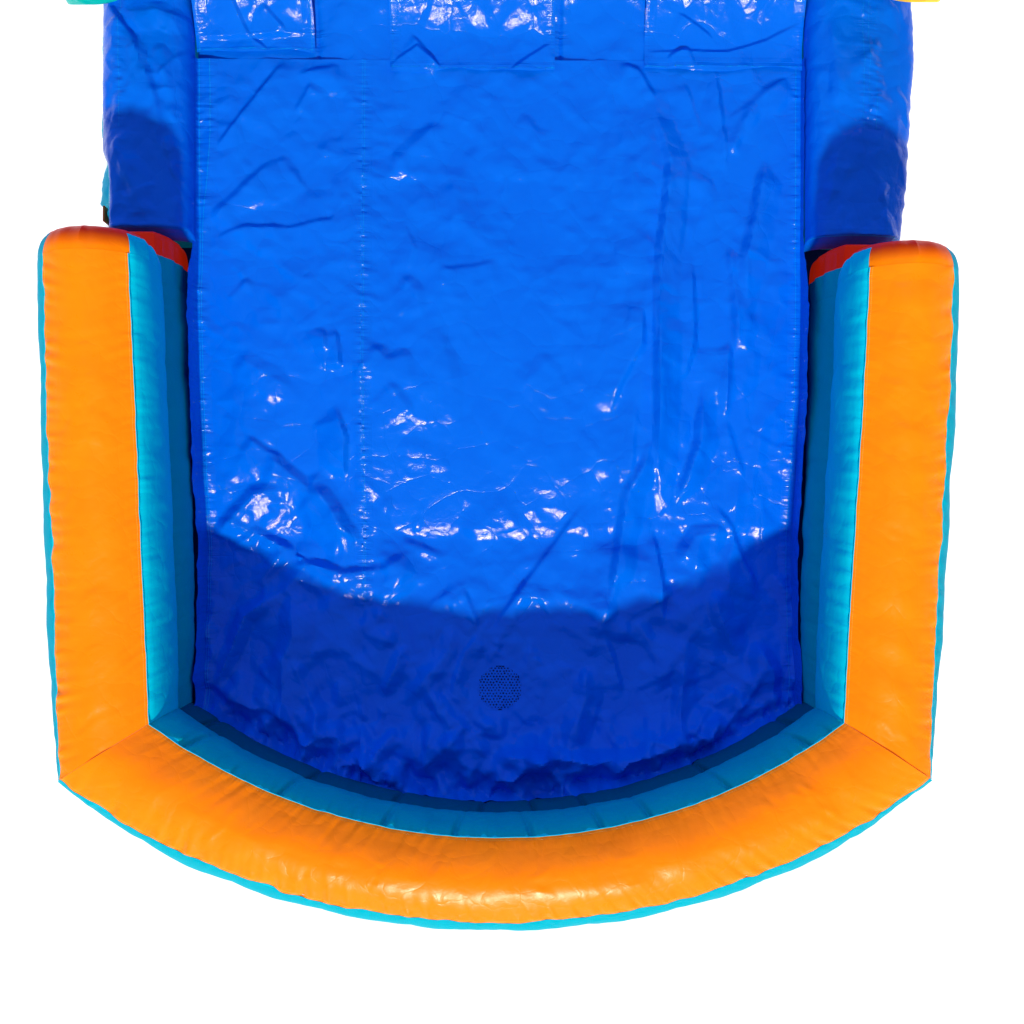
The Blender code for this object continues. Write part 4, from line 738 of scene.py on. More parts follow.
# the sheet's own folds: line, width on its sunny side, width on its far side, height
linerFolds = (
    (((0.40, 1.20), (0.36, 0.00)), 0.11, 0.11, 0.010),
    (((0.36, 0.00), (0.24, -0.30)), 0.11, 0.11, 0.009),
    (((-0.40, 1.10), (-0.37, 0.10)), 0.10, 0.10, 0.006),
    (((-0.10, 1.00), (-0.22, 0.30)), 0.12, 0.12, 0.007),
    (((-0.66, -0.10), (-0.30, -0.38)), 0.10, 0.10, 0.010),
    (((-0.52, 0.10), (-0.20, -0.10)), 0.10, 0.10, 0.007),
    (((0.10, 0.05), (0.62, -0.12)), 0.12, 0.12, 0.008),
    (((0.66, -0.05), (0.40, -0.42)), 0.09, 0.09, 0.009),
    (((-0.30, -0.52), (0.28, -0.60)), 0.08, 0.06, 0.008),
    # the landing
    (((-0.565, 1.27), (-0.748, 1.045)), 0.07, 0.012, 0.0075),
    (((-0.421, 1.26), (-0.507, 1.242), (-0.533, 1.234)), 0.05, 0.012, 0.004),
    (((-0.494, 1.214), (-0.54, 1.137)), 0.04, 0.010, 0.004),
    (((-0.588, 1.026), (-0.684, 0.928), (-0.763, 0.856)), 0.07, 0.02, 0.006),
    (((-0.588, 1.026), (-0.51, 0.936)), 0.05, 0.02, 0.004),
    (((-0.772, 0.806), (-0.672, 0.837), (-0.545, 0.837), (-0.445, 0.856), (-0.424, 0.897)), 0.06, 0.012, 0.0045),
    (((-0.286, 1.262), (-0.217, 1.27), (-0.157, 1.262)), 0.03, 0.02, 0.006),
    (((-0.161, 1.117), (-0.287, 0.988)), 0.06, 0.03, 0.006),
    (((-0.258, 0.85), (-0.227, 0.78), (-0.245, 0.726)), 0.04, 0.010, 0.003),
    (((0.315, 1.27), (0.361, 1.25), (0.408, 1.175)), 0.05, 0.014, 0.006),
    (((0.408, 1.175), (0.414, 1.129), (0.449, 1.006), (0.437, 0.869), (0.427, 0.804), (0.418, 0.693),
      (0.42, 0.552), (0.424, 0.257), (0.434, 0.096)), 0.013, 0.06, 0.010),
    (((0.565, 1.255), (0.607, 0.962)), 0.05, 0.012, 0.005),
    (((0.486, 1.227), (0.519, 1.129), (0.532, 1.086)), 0.04, 0.010, 0.0045),
    (((0.702, 1.03), (0.678, 0.867), (0.651, 0.757), (0.657, 0.649)), 0.016, 0.06, 0.009),
    (((0.608, 1.129), (0.674, 1.17), (0.771, 1.247)), 0.05, 0.02, 0.006),
    (((0.674, 1.17), (0.60, 1.02)), 0.03, 0.02, 0.005),
    # left width
    (((-0.678, 0.289), (-0.628, 0.25), (-0.576, 0.233)), 0.04, 0.014, 0.006),
    (((-0.726, 0.644), (-0.662, 0.703)), 0.04, 0.012, 0.004),
    (((-0.439, 0.367), (-0.415, 0.289), (-0.42, 0.176)), 0.05, 0.012, 0.008),
    (((-0.434, 0.569), (-0.425, 0.466)), 0.05, 0.010, 0.006),
    (((-0.469, 0.574), (-0.461, 0.51)), 0.04, 0.010, 0.004),
    (((-0.622, 0.238), (-0.515, 0.152), (-0.474, 0.204)), 0.06, 0.03, 0.009),
    (((-0.775, 0.019), (-0.659, 0.135), (-0.59, 0.147)), 0.07, 0.03, 0.012),
    (((-0.502, 0.165), (-0.418, 0.037), (-0.382, 0.008)), 0.06, 0.03, 0.010),
    (((-0.70, 0.50), (-0.56, 0.42)), 0.06, 0.03, 0.005),
    # right width
    (((-0.295, 0.429), (-0.234, 0.345)), 0.05, 0.02, 0.006),
    (((-0.343, 0.532), (-0.299, 0.488), (-0.226, 0.504)), 0.05, 0.025, 0.006),
    (((-0.261, 0.708), (-0.223, 0.671), (-0.207, 0.601)), 0.05, 0.025, 0.006),
    (((-0.167, 0.719), (-0.055, 0.736), (-0.005, 0.752)), 0.05, 0.011, 0.003),
    (((-0.157, 0.563), (-0.125, 0.424), (-0.132, 0.268)), 0.07, 0.03, 0.005),
    (((-0.282, 0.255), (-0.236, 0.268), (-0.133, 0.216)), 0.04, 0.03, 0.003),
    (((-0.099, 0.019), (0.022, 0.124)), 0.08, 0.05, 0.0055),
    (((0.37, 0.644), (0.373, 0.532), (0.313, 0.424), (0.288, 0.34)), 0.06, 0.014, 0.007),
    (((0.506, 0.757), (0.513, 0.596), (0.513, 0.542), (0.494, 0.461), (0.456, 0.424)), 0.05, 0.012, 0.006),
    (((0.606, 0.791), (0.632, 0.586), (0.63, 0.504)), 0.012, 0.05, 0.007),
    (((0.609, 0.542), (0.602, 0.345)), 0.05, 0.012, 0.006),
    (((0.542, 0.412), (0.539, 0.278), (0.481, 0.107)), 0.015, 0.05, 0.010),
    (((0.403, 0.289), (0.388, 0.216), (0.348, 0.147), (0.325, -0.009), (0.3, -0.159)), 0.014, 0.05, 0.009),
    (((0.36, 0.385), (0.351, 0.159)), 0.04, 0.012, 0.005),
    (((-0.027, 0.23), (0.111, 0.235), (0.22, 0.255), (0.289, 0.255)), 0.12, 0.05, 0.0035),
    (((0.649, 0.312), (0.749, 0.258), (0.789, 0.281)), 0.04, 0.012, 0.002),
    (((0.605, 0.334), (0.66, 0.176)), 0.04, 0.010, 0.0035),
    (((0.231, 0.115), (0.157, 0.008), (0.065, -0.115), (-0.027, -0.245)), 0.05, 0.012, 0.006),
    (((0.142, 0.499), (0.046, 0.417)), 0.06, 0.04, 0.006),
    # in the front wall's shade
    (((-0.729, -0.008), (-0.661, 0.032), (-0.581, -0.011), (-0.668, -0.115)), 0.05, 0.02, 0.009),
    (((-0.569, -0.054), (-0.508, -0.054), (-0.429, -0.079), (-0.312, -0.066), (-0.232, -0.014)), 0.05, 0.02, 0.008),
    (((-0.766, -0.379), (-0.716, -0.257), (-0.692, -0.195), (-0.618, -0.14)), 0.02, 0.03, 0.013),
    (((-0.588, -0.539), (-0.585, -0.305), (-0.558, -0.245), (-0.569, -0.121)), 0.03, 0.06, 0.013),
    (((-0.655, -0.354), (-0.581, -0.3)), 0.05, 0.02, 0.006),
    (((-0.563, -0.305), (-0.496, -0.459), (-0.489, -0.582)), 0.05, 0.03, 0.010),
    (((-0.281, -0.275), (-0.269, -0.293), (-0.319, -0.415)), 0.02, 0.03, 0.009),
    (((-0.319, -0.17), (-0.343, -0.22), (-0.287, -0.275)), 0.03, 0.04, 0.009),
    (((-0.127, -0.22), (-0.14, -0.293), (-0.256, -0.428)), 0.02, 0.04, 0.008),
    (((-0.103, -0.115), (-0.055, -0.245)), 0.04, 0.012, 0.005),
    (((-0.023, -0.20), (-0.10, -0.305), (-0.13, -0.40)), 0.03, 0.014, 0.006),
    (((-0.10, -0.50), (-0.177, -0.569), (-0.239, -0.631)), 0.03, 0.03, 0.012),
    (((-0.281, -0.502), (-0.343, -0.569)), 0.03, 0.02, 0.010),
    (((-0.201, -0.489), (-0.195, -0.379), (-0.146, -0.33)), 0.03, 0.04, 0.006),
    (((0.414, 0.044), (0.439, -0.096), (0.445, -0.22)), 0.04, 0.012, 0.008),
    (((0.58, 0.111), (0.629, 0.044), (0.665, -0.048), (0.714, -0.134)), 0.05, 0.014, 0.007),
    (((0.488, -0.054), (0.536, 0.026), (0.623, 0.032)), 0.06, 0.03, 0.010),
    (((0.585, -0.115), (0.591, -0.183), (0.653, -0.318)), 0.02, 0.05, 0.011),
    (((0.279, -0.238), (0.31, -0.318), (0.334, -0.404)), 0.05, 0.014, 0.007),
    (((0.5, -0.318), (0.488, -0.489), (0.506, -0.544)), 0.02, 0.05, 0.011),
    (((0.23, -0.33), (0.236, -0.415), (0.168, -0.551)), 0.03, 0.05, 0.012),
    (((0.695, -0.263), (0.739, -0.342), (0.745, -0.453)), 0.04, 0.03, 0.011),
    (((0.647, -0.385), (0.549, -0.464), (0.506, -0.544)), 0.05, 0.03, 0.012),
    (((-0.027, -0.566), (0.095, -0.569), (0.247, -0.581), (0.365, -0.575), (0.481, -0.534),
      (0.585, -0.516)), 0.04, 0.03, 0.012),
    (((-0.484, -0.599), (-0.374, -0.588), (-0.239, -0.629)), 0.03, 0.03, 0.010),
)


# its small crumples: x and y ranges, count, seed, widths, steepnesses, lengths, headings
calmCrumples = (
    (liner["area"], 380, 7, (0.010, 0.045), (0.05, 0.17)),
    (((-0.82, 0.82), (-0.3, 1.28)), 90, 17, (0.006, 0.04), (0.05, 0.17), (3, 7)),
    (((-0.43, -0.31), (-0.2, 1.25)), 130, 9, (0.005, 0.016), (0.06, 0.18)),
)
fullCrumples = (
    (((0.3, 0.78), (-0.3, 1.1)), 44, 18, (0.008, 0.030), (0.08, 0.26), (4, 9), (1.35, 1.7)),
    (((-0.78, -0.2), (-0.16, 0.14)), 50, 19, (0.008, 0.030), (0.12, 0.36)),
    (((-0.82, 0.82), (-0.68, -0.10)), 200, 8, (0.012, 0.045), (0.14, 0.46)),
    (((-0.82, 0.82), (-0.68, -0.45)), 90, 14, (0.012, 0.04), (0.3, 0.8)),
    (((-0.09, 0.11), (-0.47, -0.27)), 60, 15, (0.005, 0.016), (0.2, 0.6)),
)


# Height of the liner over its own flat lie: its folds, small crumples that get denser
# towards the front wall, and slow waves; level round the drain, calm in the pool's middle.
def linerRelief(x, y):
    height = np.zeros(x.shape)
    for line, sunny, far, lift in linerFolds:
        ux, uy = line[-1][0] - line[0][0], line[-1][1] - line[0][1]
        sunny *= 1.9 if -0.05 < (line[0][1] + line[-1][1]) / 2 < 0.6 and lift < 0.009 else 1.35
        widths = (far, sunny) if ux - 0.35 * uy > 0 else (sunny, far)
        height += 2.4 * lift * foldHeight(x, y, line, *widths)
    small = sum(crumple(x, y, *values) for values in calmCrumples)
    height += small * (1 - 0.75 * smoothStep((y + 0.05) / 0.1) * (1 - smoothStep((y - 0.5) / 0.3)))
    height += sum(crumple(x, y, *values) for values in fullCrumples)
    height += 0.0007 * waves(x * 0.7, y, 0.07, 13, 2) * smoothStep((y - 0.2) / 0.3) + 0.004
    height += 0.0036 * (waves(x, y * 1.2, 0.40, 10, 2) - np.abs(waves(x, y * 0.8, 0.26, 11, 3)))
    height -= 0.0014 * np.abs(waves(x, y, 0.12, 12, 2))
    height *= 1 - 0.65 * np.exp(-((x / 0.3) ** 2 + ((y - 0.3) / 0.22) ** 2))
    toDrain = np.hypot(x - liner["drain"][0], y - liner["drain"][1])
    return height * mix(0.25, 1.0, smoothStep((toDrain - 0.05) / 0.07))


def linerHalf(y):
    return mix(liner["halfWidth"], liner["landingHalfWidth"], smoothStep((y - 0.66) / 0.13))


# A width of the liner. places holds, for each marked column, its x as a function of y;
# cellsBetween holds how many cells lie between one and the next; climb is how far each
# has turned up at the pool's side; stitched holds rows of stitches and their front ends.
def linerWidth(name, places, cellsBetween, climb, stitched, seed, rows=361):
    columns = sum(cellsBetween) + 1
    marks = np.concatenate(([0], np.cumsum(cellsBetween)))
    nominal = np.interp(np.arange(columns), marks, [place(np.array(0.0)) for place in places])
    share = np.linspace(0, 1, rows)[:, None]
    y = mix(innerFrontY(nominal) + liner["frontInset"], liner["backY"], share)
    x = np.zeros(y.shape)
    for k, count in enumerate(cellsBetween):
        part = slice(marks[k], marks[k + 1] + 1)
        weight = np.linspace(0, 1, count + 1)
        x[:, part] = mix(places[k](y[:, part]), places[k + 1](y[:, part]), weight)
    up = np.interp(np.arange(columns), marks, climb)[None, :] + 0 * y
    toFront = y - innerFrontY(x) - liner["frontInset"]
    away = np.full(y.shape, 0.5)
    for row, frontEnd in stitched:
        away = np.minimum(away, np.abs(x - row(y)) + np.clip(frontEnd - y, 0, None))
    relief = linerRelief(x, y) * (1 - 0.8 * up)
    # a wavy ridge along the front, a dip behind it and an edge that turns up at the wall
    reach = liner["frontReach"] * (0.85 + 0.3 * waves(x, 0 * y, 0.3, seed + 5, 3))
    behind = np.exp(-(((toFront - reach) / 0.07) ** 2))
    ridge = np.where(toFront > reach, behind, np.clip(toFront / reach, 0, 1) ** 2.6)
    relief += ridge * (liner["frontRise"] + 0.010 * waves(x, y * 0.5, 0.16, seed, 3))
    relief += 0.5 * np.abs(waves(x, y * 0.6, 0.10, seed + 6, 3)) * 0.03 * (1 - smoothStep(toFront / 0.09))
    ruffle = crumple(x, y, ((-0.82, 0.82), (-0.70, -0.35)), 420, seed + 7, (0.010, 0.035), (0.28, 0.8))
    relief += ruffle * (1 - smoothStep((toFront - 0.06) / 0.05))
    relief += 0.028 * np.clip(1 - toFront / 0.03, 0, 1) ** 2
    side = mix(*liner["edgeRise"], smoothStep((y - 0.66) / 0.13))
    relief += side * up**1.3 * (1 + 0.12 * waves(y, up * 0.1, 0.12, seed + 1, 3))
    relief += 0.0016 * waves(y, x * 0.3, 0.02, seed + 2, 2) * np.exp(-away / 0.012)
    lie = pool["deck"] + pool["gap"] + laneHeight(y)
    face = joined(x, y, lie + 0.0026 + np.clip(relief, -0.0012, None))
    back = joined(x, y, lie + 0.0002 + side * up**1.3 * 0.97)
    sheet = sheetSkin(name, face, None, materials["blueLiner"], step=3, back=back, uv=joined(y, away))
    # the liner under the drain takes the painted-shadow colour, so the holes look dark
    sheet.data.materials.append(materials["drainPaintedShadow"])
    under = np.array([(f.center.x, f.center.y) for f in sheet.data.polygons]) - liner["drain"]
    sheet.data.polygons.foreach_set("material_index", (np.hypot(*under.T) < drain["paintedShadowRadius"]).astype(int))
    standsFor("pool_liner")
    return sheet, float(nominal[-1] - nominal[0]), float(np.ptp(y))


def edgeRow(inset, spread=0.0):
    return lambda y: linerHalf(y) - inset - spread * smoothStep((y - 0.8) / 0.3)


def seamRow(y):
    return mix(*liner["seamX"], (y + 0.68) / 1.96)


insets = ((-liner["edgeLean"][-1], 0.0), (0.0, 0.0), (0.004, 0.0), (0.010, 0.022))
leftRows = [lambda y, row=edgeRow(*inset): -row(y) for inset in insets]
rightRows = [edgeRow(0.013), edgeRow(0.0), edgeRow(-liner["edgeLean"][1])]
leftSheet, leftWide, linerLong = linerWidth(
    "pool_liner_left", [*leftRows, seamRow], (6, 3, 3, 78), (1, 0, 0, 0, 0),
    ((leftRows[2], -0.5), (leftRows[3], -0.5), (seamRow, liner["stitchFrontY"])), 30)
rightSheet, rightWide, _ = linerWidth(
    "pool_liner_right", [seamRow, *rightRows], (204, 6, 6), (0, 0, 0, 1),
    ((rightRows[0], -0.5), (lambda y: seamRow(y) + 0.006, liner["stitchFrontY"])), 50)


# The drain: a disc of hexagon cells on a triangular pitch, each with a hole, pressed a
# little out of true, lying on the liner's own folds. Its rim is thinned to nothing.
def drainDisc():
    pitch, side = drain["pitch"], drain["pitch"] / math.sqrt(3)
    rng = np.random.default_rng(16)
    corners, points, top, bottom, walls, edges = {}, [], [], [], [], {}
    turn = np.radians(60) * np.arange(6) + math.pi / 6

    def corner(x, y):
        key = (round(x / 1e-5), round(y / 1e-5))
        if key not in corners:
            beside = ((key[0] + i, key[1] + j) for i in (-1, 0, 1) for j in (-1, 0, 1))
            near = [corners[k] for k in beside if k in corners]
            if near:
                return near[0]
            corners[key] = len(points)
            points.append((x, y))
        return corners[key]

    for row in range(-8, 9):
        for column in range(-9, 10):
            x, y = pitch * (column + row % 2 / 2), pitch * row * math.sqrt(0.75)
            if math.hypot(x, y) > drain["reach"]:
                continue
            outline = [corner(x + side * math.cos(a), y + side * math.sin(a)) for a in turn]
            shift, size = rng.normal(0, 0.0006, 2), drain["hole"] * rng.uniform(0.75, 1.1)
            start = len(points)
            points.extend((x + shift[0] + size * math.cos(a), y + shift[1] + size * math.sin(a)) for a in turn)
            for k in range(6):
                n = (k + 1) % 6
                top.append((outline[k], outline[n], start + n, start + k))
                walls.append((start + k, start + n))
                edges.pop((outline[n], outline[k]), None) or edges.setdefault((outline[k], outline[n]), True)
    flat = np.array(points)
    x, y = flat[:, 0] + liner["drain"][0], flat[:, 1] + liner["drain"][1]
    rim = np.clip((drain["rim"] - np.hypot(*flat.T)) / 0.004, 0, 1)
    relief = np.clip(linerRelief(x, y), -0.0012, None)
    z = pool["deck"] + pool["gap"] + laneHeight(y) + 0.0028 + relief + 0.0012 * rim
    count = len(points)
    top = np.array(top)
    pairs = [(b, a) for a, b in walls] + [(a, b) for (a, b), kept in edges.items() if kept]
    upright = np.array([(b, a, a + count, b + count) for a, b in pairs])
    both = np.concatenate((joined(x, y, z), joined(x, y, z - 0.0004 - 0.0006 * rim)))
    disc = makePiece("drain_disc", both, [top, top[:, ::-1] + count, upright], materials["blueLiner"])
    standsFor("drain_patch")
    flat = (drain["flat"], drain["flat"])


drainDisc()
print("liner done")


# rings closed both ways, like a hoop
def hoop(name, rings, finish, uv=None, **more):
    count, around = rings.shape[:2]
    index = np.arange(count * around).reshape(count, around)
    wrapped = np.concatenate((index, index[:, :1]), 1)
    wrapped = np.concatenate((wrapped, wrapped[:1]), 0)
    return makePiece(name, rings, [cells(wrapped)], finish, uv, **more)


# A strap along a path: its width lies along wide, and its thickness square to the path.
def ribbon(name, path, wide, width, thick, finish, columns=7, **more):
    path, wide = np.asarray(path, float), np.asarray(wide, float)
    ahead = np.gradient(path, axis=0)
    ahead /= np.linalg.norm(ahead, axis=1)[:, None]
    out = np.cross(ahead, wide)
    across = np.concatenate((np.linspace(-0.5, 0.5, columns), np.linspace(0.5, -0.5, columns)))
    lift = np.repeat((0.5, -0.5), columns) * (1 - 0.35 * np.abs(2 * across) ** 6)
    rings = path[:, None] + across[None, :, None] * width * wide + lift[None, :, None] * thick * out[:, None]
    length = np.concatenate(([0], np.cumsum(np.linalg.norm(np.diff(path, axis=0), axis=1))))
    away = np.broadcast_to((0.5 - np.abs(across)) * width + 0.001, rings.shape[:2])
    return skin(name, rings, finish, joined(np.broadcast_to(length[:, None], away.shape), away), **more)


# Ground sheet: a fan of rays from its round opening under the drain, each as long as the
# way to the front arc, the side or the back edge, whichever is nearest.
ground = {
    "inset": 0.045, "sagitta": 0.342, "opening": 0.0572, "thickness": 0.0028,
    "flat": (1.98, 2.12), "area": 3.75,
}


def groundSheet():
    turn = np.linspace(0, 2 * math.pi, 361)[:-1]
    dx, dy = np.cos(turn), np.sin(turn)
    drainY = liner["drain"][1]
    radius = (outerX**2 + ground["sagitta"] ** 2) / (2 * ground["sagitta"])
    centreY = pool["outerFrontY"] + radius + ground["inset"]
    b = dy * (drainY - centreY)
    toFront = -b + np.sqrt(b**2 + radius**2 - (drainY - centreY) ** 2)
    toSide = (outerX - ground["inset"]) / np.maximum(np.abs(dx), 1e-6)
    toBack = np.where(dy > 1e-6, (liner["backY"] - drainY) / np.maximum(dy, 1e-6), 1e6)
    reach = np.min([toFront, toSide, toBack], axis=0)
    r = mix(ground["opening"], reach[:, None], np.linspace(0, 1, 24)[None, :] ** 1.3)
    x, y = r * dx[:, None], drainY + r * dy[:, None]
    top = joined(x, y, ground["thickness"] + 0.0002 * waves(x, y, 0.2, 60, 2))
    base = joined(x, y, 0 * x + 0.0002)
    rings = np.concatenate((top, base[:, ::-1]), 1)
    seam = np.concatenate((joined(turn[:, None] + 0 * r, reach[:, None] - r + 0.01),) * 2, 1)
    cloth = hoop("pool_base_cloth", rings, materials["groundCloth"], seam)
    standsFor("pool_ground_sheet")


groundSheet()

# Mattress: a profile of rows along Y, drawn down at its lengthwise seams by
# draw * (1 - |sin|^0.5), with a flat underside.
channel = {"halfWidth": 0.7997, "count": 5, "draw": 0.018, "landingDraw": 0.004, "bedDraw": 0.022}


def channelPhase(x):
    return (x + channel["halfWidth"]) / (2 * channel["halfWidth"]) * channel["count"]


def channelDraw(x, depth):
    return depth * (1 - np.sqrt(np.abs(np.sin(math.pi * channelPhase(x)))))


def mattress(name, rows, top, bottom, finish, seed, draw):
    x = np.linspace(-channel["halfWidth"], channel["halfWidth"], 121)[:, None]
    y = rows[None, :]
    ruck = 0.0012 * waves(x * 0.3, y, 0.04, seed, 2) * np.exp(-(1 - channelDraw(x, 1.0)) * 3)
    up = top(y) - channelDraw(x, draw) - 0.0006 - np.abs(ruck)
    down = np.maximum(bottom(y), 0.0002) + 0 * x
    xs = x + 0 * y
    roof = joined(xs, y + 0 * x, up)
    under = joined(xs, y + 0 * x, down)[:, ::-1]
    middle = mix(roof[:, -1:], under[:, :1], 0.5) + (0, -0.0002, 0)
    start = mix(under[:, -1:], roof[:, :1], 0.5) + (0, 0.0002, 0)
    rings = np.concatenate((roof, middle, under, start), 1)
    away = (1 - channelDraw(x, 1.0)) * 0.03 + 0 * rings[..., 0]
    return skin(name, rings, finish, joined(rings[..., 1], away + 0.004))


def laneTop(y):
    return pool["deck"] + laneHeight(y)


landingBed = mattress(
    "landing_air_bed", np.linspace(0.06, liner["backY"], 90), lambda y: laneTop(y) - 0.0006,
    lambda y: 0 * y + pool["deck"], materials["groundCloth"], 61, channel["landingDraw"])
standsFor("landing_bed")

# the landing's side bolsters and the blue covers over them
bolster = {
    "inner": 0.80, "outer": 1.02, "frontY": 0.812, "backY": 1.45,
    "height": 0.165, "crown": 0.085, "bulge": 0.052, "tabY": 0.855, "hemY": {-1: 0.794, 1: 0.776},
    "coverFlat": (0.36, 0.66),
    # edge of the left cover's loose flap, as x and y; the right cover's outer outline
    "flap": (
        (-0.9995, 1.46), (-0.9995, 1.379), (-0.969, 1.336), (-0.939, 1.30), (-0.913, 1.24),
        (-0.8855, 1.164), (-0.868, 1.08), (-0.84, 0.873)),
    "outlineY": (0.77, 0.92, 1.09, 1.18, 1.26, 1.42),
    "outlineX": (1.042, 1.062, 1.074, 1.079, 1.089, 1.083),
    "stitchX": {-1: (0.972,), 1: (0.934, 0.949, 0.967)},
    # folds of the covers: line, width left, width right, height
    "leftFolds": (
        (((-0.959, 1.358), (-0.873, 1.362), (-0.797, 1.346)), 0.03, 0.05, 0.010),
        (((-0.779, 1.293), (-0.878, 1.189)), 0.03, 0.012, 0.005),
        (((-0.99, 1.02), (-0.93, 0.90), (-0.90, 0.82)), 0.05, 0.02, 0.006),
        (((-0.86, 1.05), (-0.83, 0.93)), 0.03, 0.01, 0.004),
        (((-1.0, 0.96), (-0.95, 1.06)), 0.04, 0.02, 0.004),
        (((-0.89, 1.40), (-0.83, 1.44)), 0.04, 0.02, 0.006),
    ),
    "rightFolds": (
        (((0.98, 1.30), (0.90, 1.20)), 0.02, 0.03, 0.004),
        (((0.95, 1.36), (0.88, 1.41)), 0.02, 0.03, 0.004),
        (((0.99, 1.18), (0.93, 1.08), (0.90, 0.98)), 0.03, 0.02, 0.005),
        (((0.87, 1.02), (0.84, 0.86)), 0.04, 0.02, 0.005),
        (((1.0, 0.93), (0.95, 0.86)), 0.03, 0.02, 0.004),
        (((0.85, 1.35), (0.87, 1.12)), 0.04, 0.02, 0.004),
    ),
}


# across a bolster's top: a superellipse from the outer edge to the inner one
def overBolster(angle, lowered, softness=0.55):
    middle = (bolster["inner"] + bolster["outer"]) / 2
    half = (bolster["outer"] - bolster["inner"]) / 2 - lowered
    corner = np.cos(angle)
    x = middle + half * np.sign(corner) * np.abs(corner) ** softness
    return x, bolster["height"] - lowered + bolster["crown"] * np.sin(angle) ** softness


# how far a bolster's section has shrunk, at its rounded ends
def endRound(y, reach=0.03):
    near = np.clip(np.minimum(y - bolster["frontY"], bolster["backY"] - y) / reach, 0, 1)
    return 0.72 + 0.28 * np.sqrt(1 - (1 - near) ** 2)


def buildBolster(side, name):
    share = smoothStep(np.linspace(0, 1, 140))
    y = bolster["frontY"] + (bolster["backY"] - bolster["frontY"]) * share
    topX, topZ = overBolster(np.linspace(0.0, math.pi, 44), 0.0048)
    wallZ = np.linspace(0, 1, 18)[:-1]
    bays = np.abs(np.sin(math.pi * 3 * share)) ** 0.5
    beside = smoothStep((np.abs(y - bolster["tabY"]) - 0.024) / 0.035)
    bulge = bolster["bulge"] * beside * (0.45 + 0.55 * bays)
    bulge = bulge[:, None] * np.sin(math.pi * (0.08 + 0.92 * wallZ))[None, :] ** 0.8
    base = np.linspace(bolster["inner"] + 0.002, bolster["outer"] - 0.004, 12)
    base, topX = (np.broadcast_to(part, (y.size, part.size)) for part in (base, topX))
    ringX = np.concatenate((base, bolster["outer"] - 0.0005 + bulge, topX), 1)
    ringZ = np.concatenate((np.full(12, pool["deck"]), mix(pool["deck"], topZ[0], wallZ), topZ))
    middleX, middleZ = 0.91, 0.12
    size = endRound(y)[:, None]
    x = middleX + (ringX - middleX) * size
    z = np.maximum(middleZ + (ringZ[None, :] - middleZ) * size, pool["deck"])
    ruck = 0.0016 * waves(y[:, None] + 0 * x, ringZ[None, :] + 0 * x, 0.05, 70 + side, 2)
    rings = joined(side * (x + ruck * (ringX > 1.0)), y[:, None] + 0 * x, z)
    away = np.abs(ringZ[None, :] - topZ[0]) + 0 * x
    piece = skin(f"{name}_bolster", rings, materials["cyanFilm"], joined(y[:, None] + 0 * x, away + 0.003))
    standsFor(f"{name}_landing_bolster")


# The cover's own folds and crumples lie over the bolster's section. Its front hem is
# turned down, and rows of stitches run along it.
def buildCover(side, name):
    hem = bolster["hemY"][side]
    y = np.linspace(hem, bolster["backY"] + 0.004, 217)[:, None]
    angle = np.linspace(0.02, math.pi - 0.05, 97)[None, :]
    x, z = overBolster(angle, -0.0005, 0.62)
    across = np.linspace(0, 1, 97)[None, :]
    if side > 0:
        outline = np.interp(y, bolster["outlineY"], bolster["outlineX"])
        outline = outline + 0.0012 * waves(y, 0 * y, 0.05, 87, 2)
        x = x + (outline - 1.0205) * np.exp(-((across / 0.22) ** 2))
    else:
        drawn = 0.012 - 0.040 * smoothStep((1.03 - y) / 0.1)
        x = x + drawn * np.exp(-((across / 0.16) ** 2))
    z = z - 0.07 * np.clip((hem + 0.020 - y) / 0.020, 0, 1) ** 1.6
    x, y, z = np.broadcast_arrays(x, y, z)
    sideX = side * x
    lift = np.zeros(x.shape)
    for line, left, right, high in bolster["leftFolds" if side < 0 else "rightFolds"]:
        lift += 1.6 * high * foldHeight(sideX, y, line, left, right)
    lift += crumple(sideX, y, ((-1.05, 1.05), (0.8, 1.46)), 900, 80 + side, (0.006, 0.03), (0.05, 0.18))
    lift += 0.003 * waves(sideX, y, 0.2, 82 + side, 3) + 0.004
    lift -= 0.004 * np.abs(waves(sideX, y, 0.2, 86 + side, 3))
    if side < 0:
        flapX, flapY = np.array(bolster["flap"][::-1]).T
        past = sideX - np.interp(y, flapY, flapX)
        strength = smoothStep((y - 1.03) / 0.22)
        lift += 0.016 * strength * (1 - smoothStep((past + 0.004) / 0.016))
        lift -= 0.004 * strength * np.exp(-(((past - 0.02) / 0.012) ** 2))
    lift = np.clip(lift, -0.0005, None) * np.sin(angle) ** 0.4
    toRow = np.min([np.abs(x - row) for row in bolster["stitchX"][side]], axis=0)
    atRow = smoothStep((y - 1.05) / 0.03)
    away = np.min([mix(0.5, toRow, atRow > 0.5), np.abs(y - hem - 0.016), 0.5 + 0 * x], axis=0)
    ruck = waves(y + 0.3 * sideX, sideX * 0.2, 0.022, 84 + side, 2)
    lift += 0.0014 * ruck * np.exp(-toRow / 0.012) * atRow
    face, back = joined(sideX, y, z + lift), joined(sideX, y, z - 0.003)
    cover = sheetSkin(
        f"{name}_cover", face, None, materials["blueCover"], step=3, back=back, uv=joined(y, away))
    standsFor(f"{name}_landing_cover")


for side, name in sides:
    buildBolster(side, name)
    buildCover(side, name)
print("landing done")


# slide lane and platform: beds, and the blue sheets sewn down on them
bed = {
    "gap": 0.0002, "laneDepth": 0.22, "deckDepth": 0.18,
    "laneFlat": (1.62, 2.28), "deckFlat": (1.62, 0.56),
}


def bedRows(start, end, count):
    return np.linspace(start + bed["gap"], end - bed["gap"], count)


def deckTop(y):
    return pool["deck"] + slope["platform"] + 0 * y


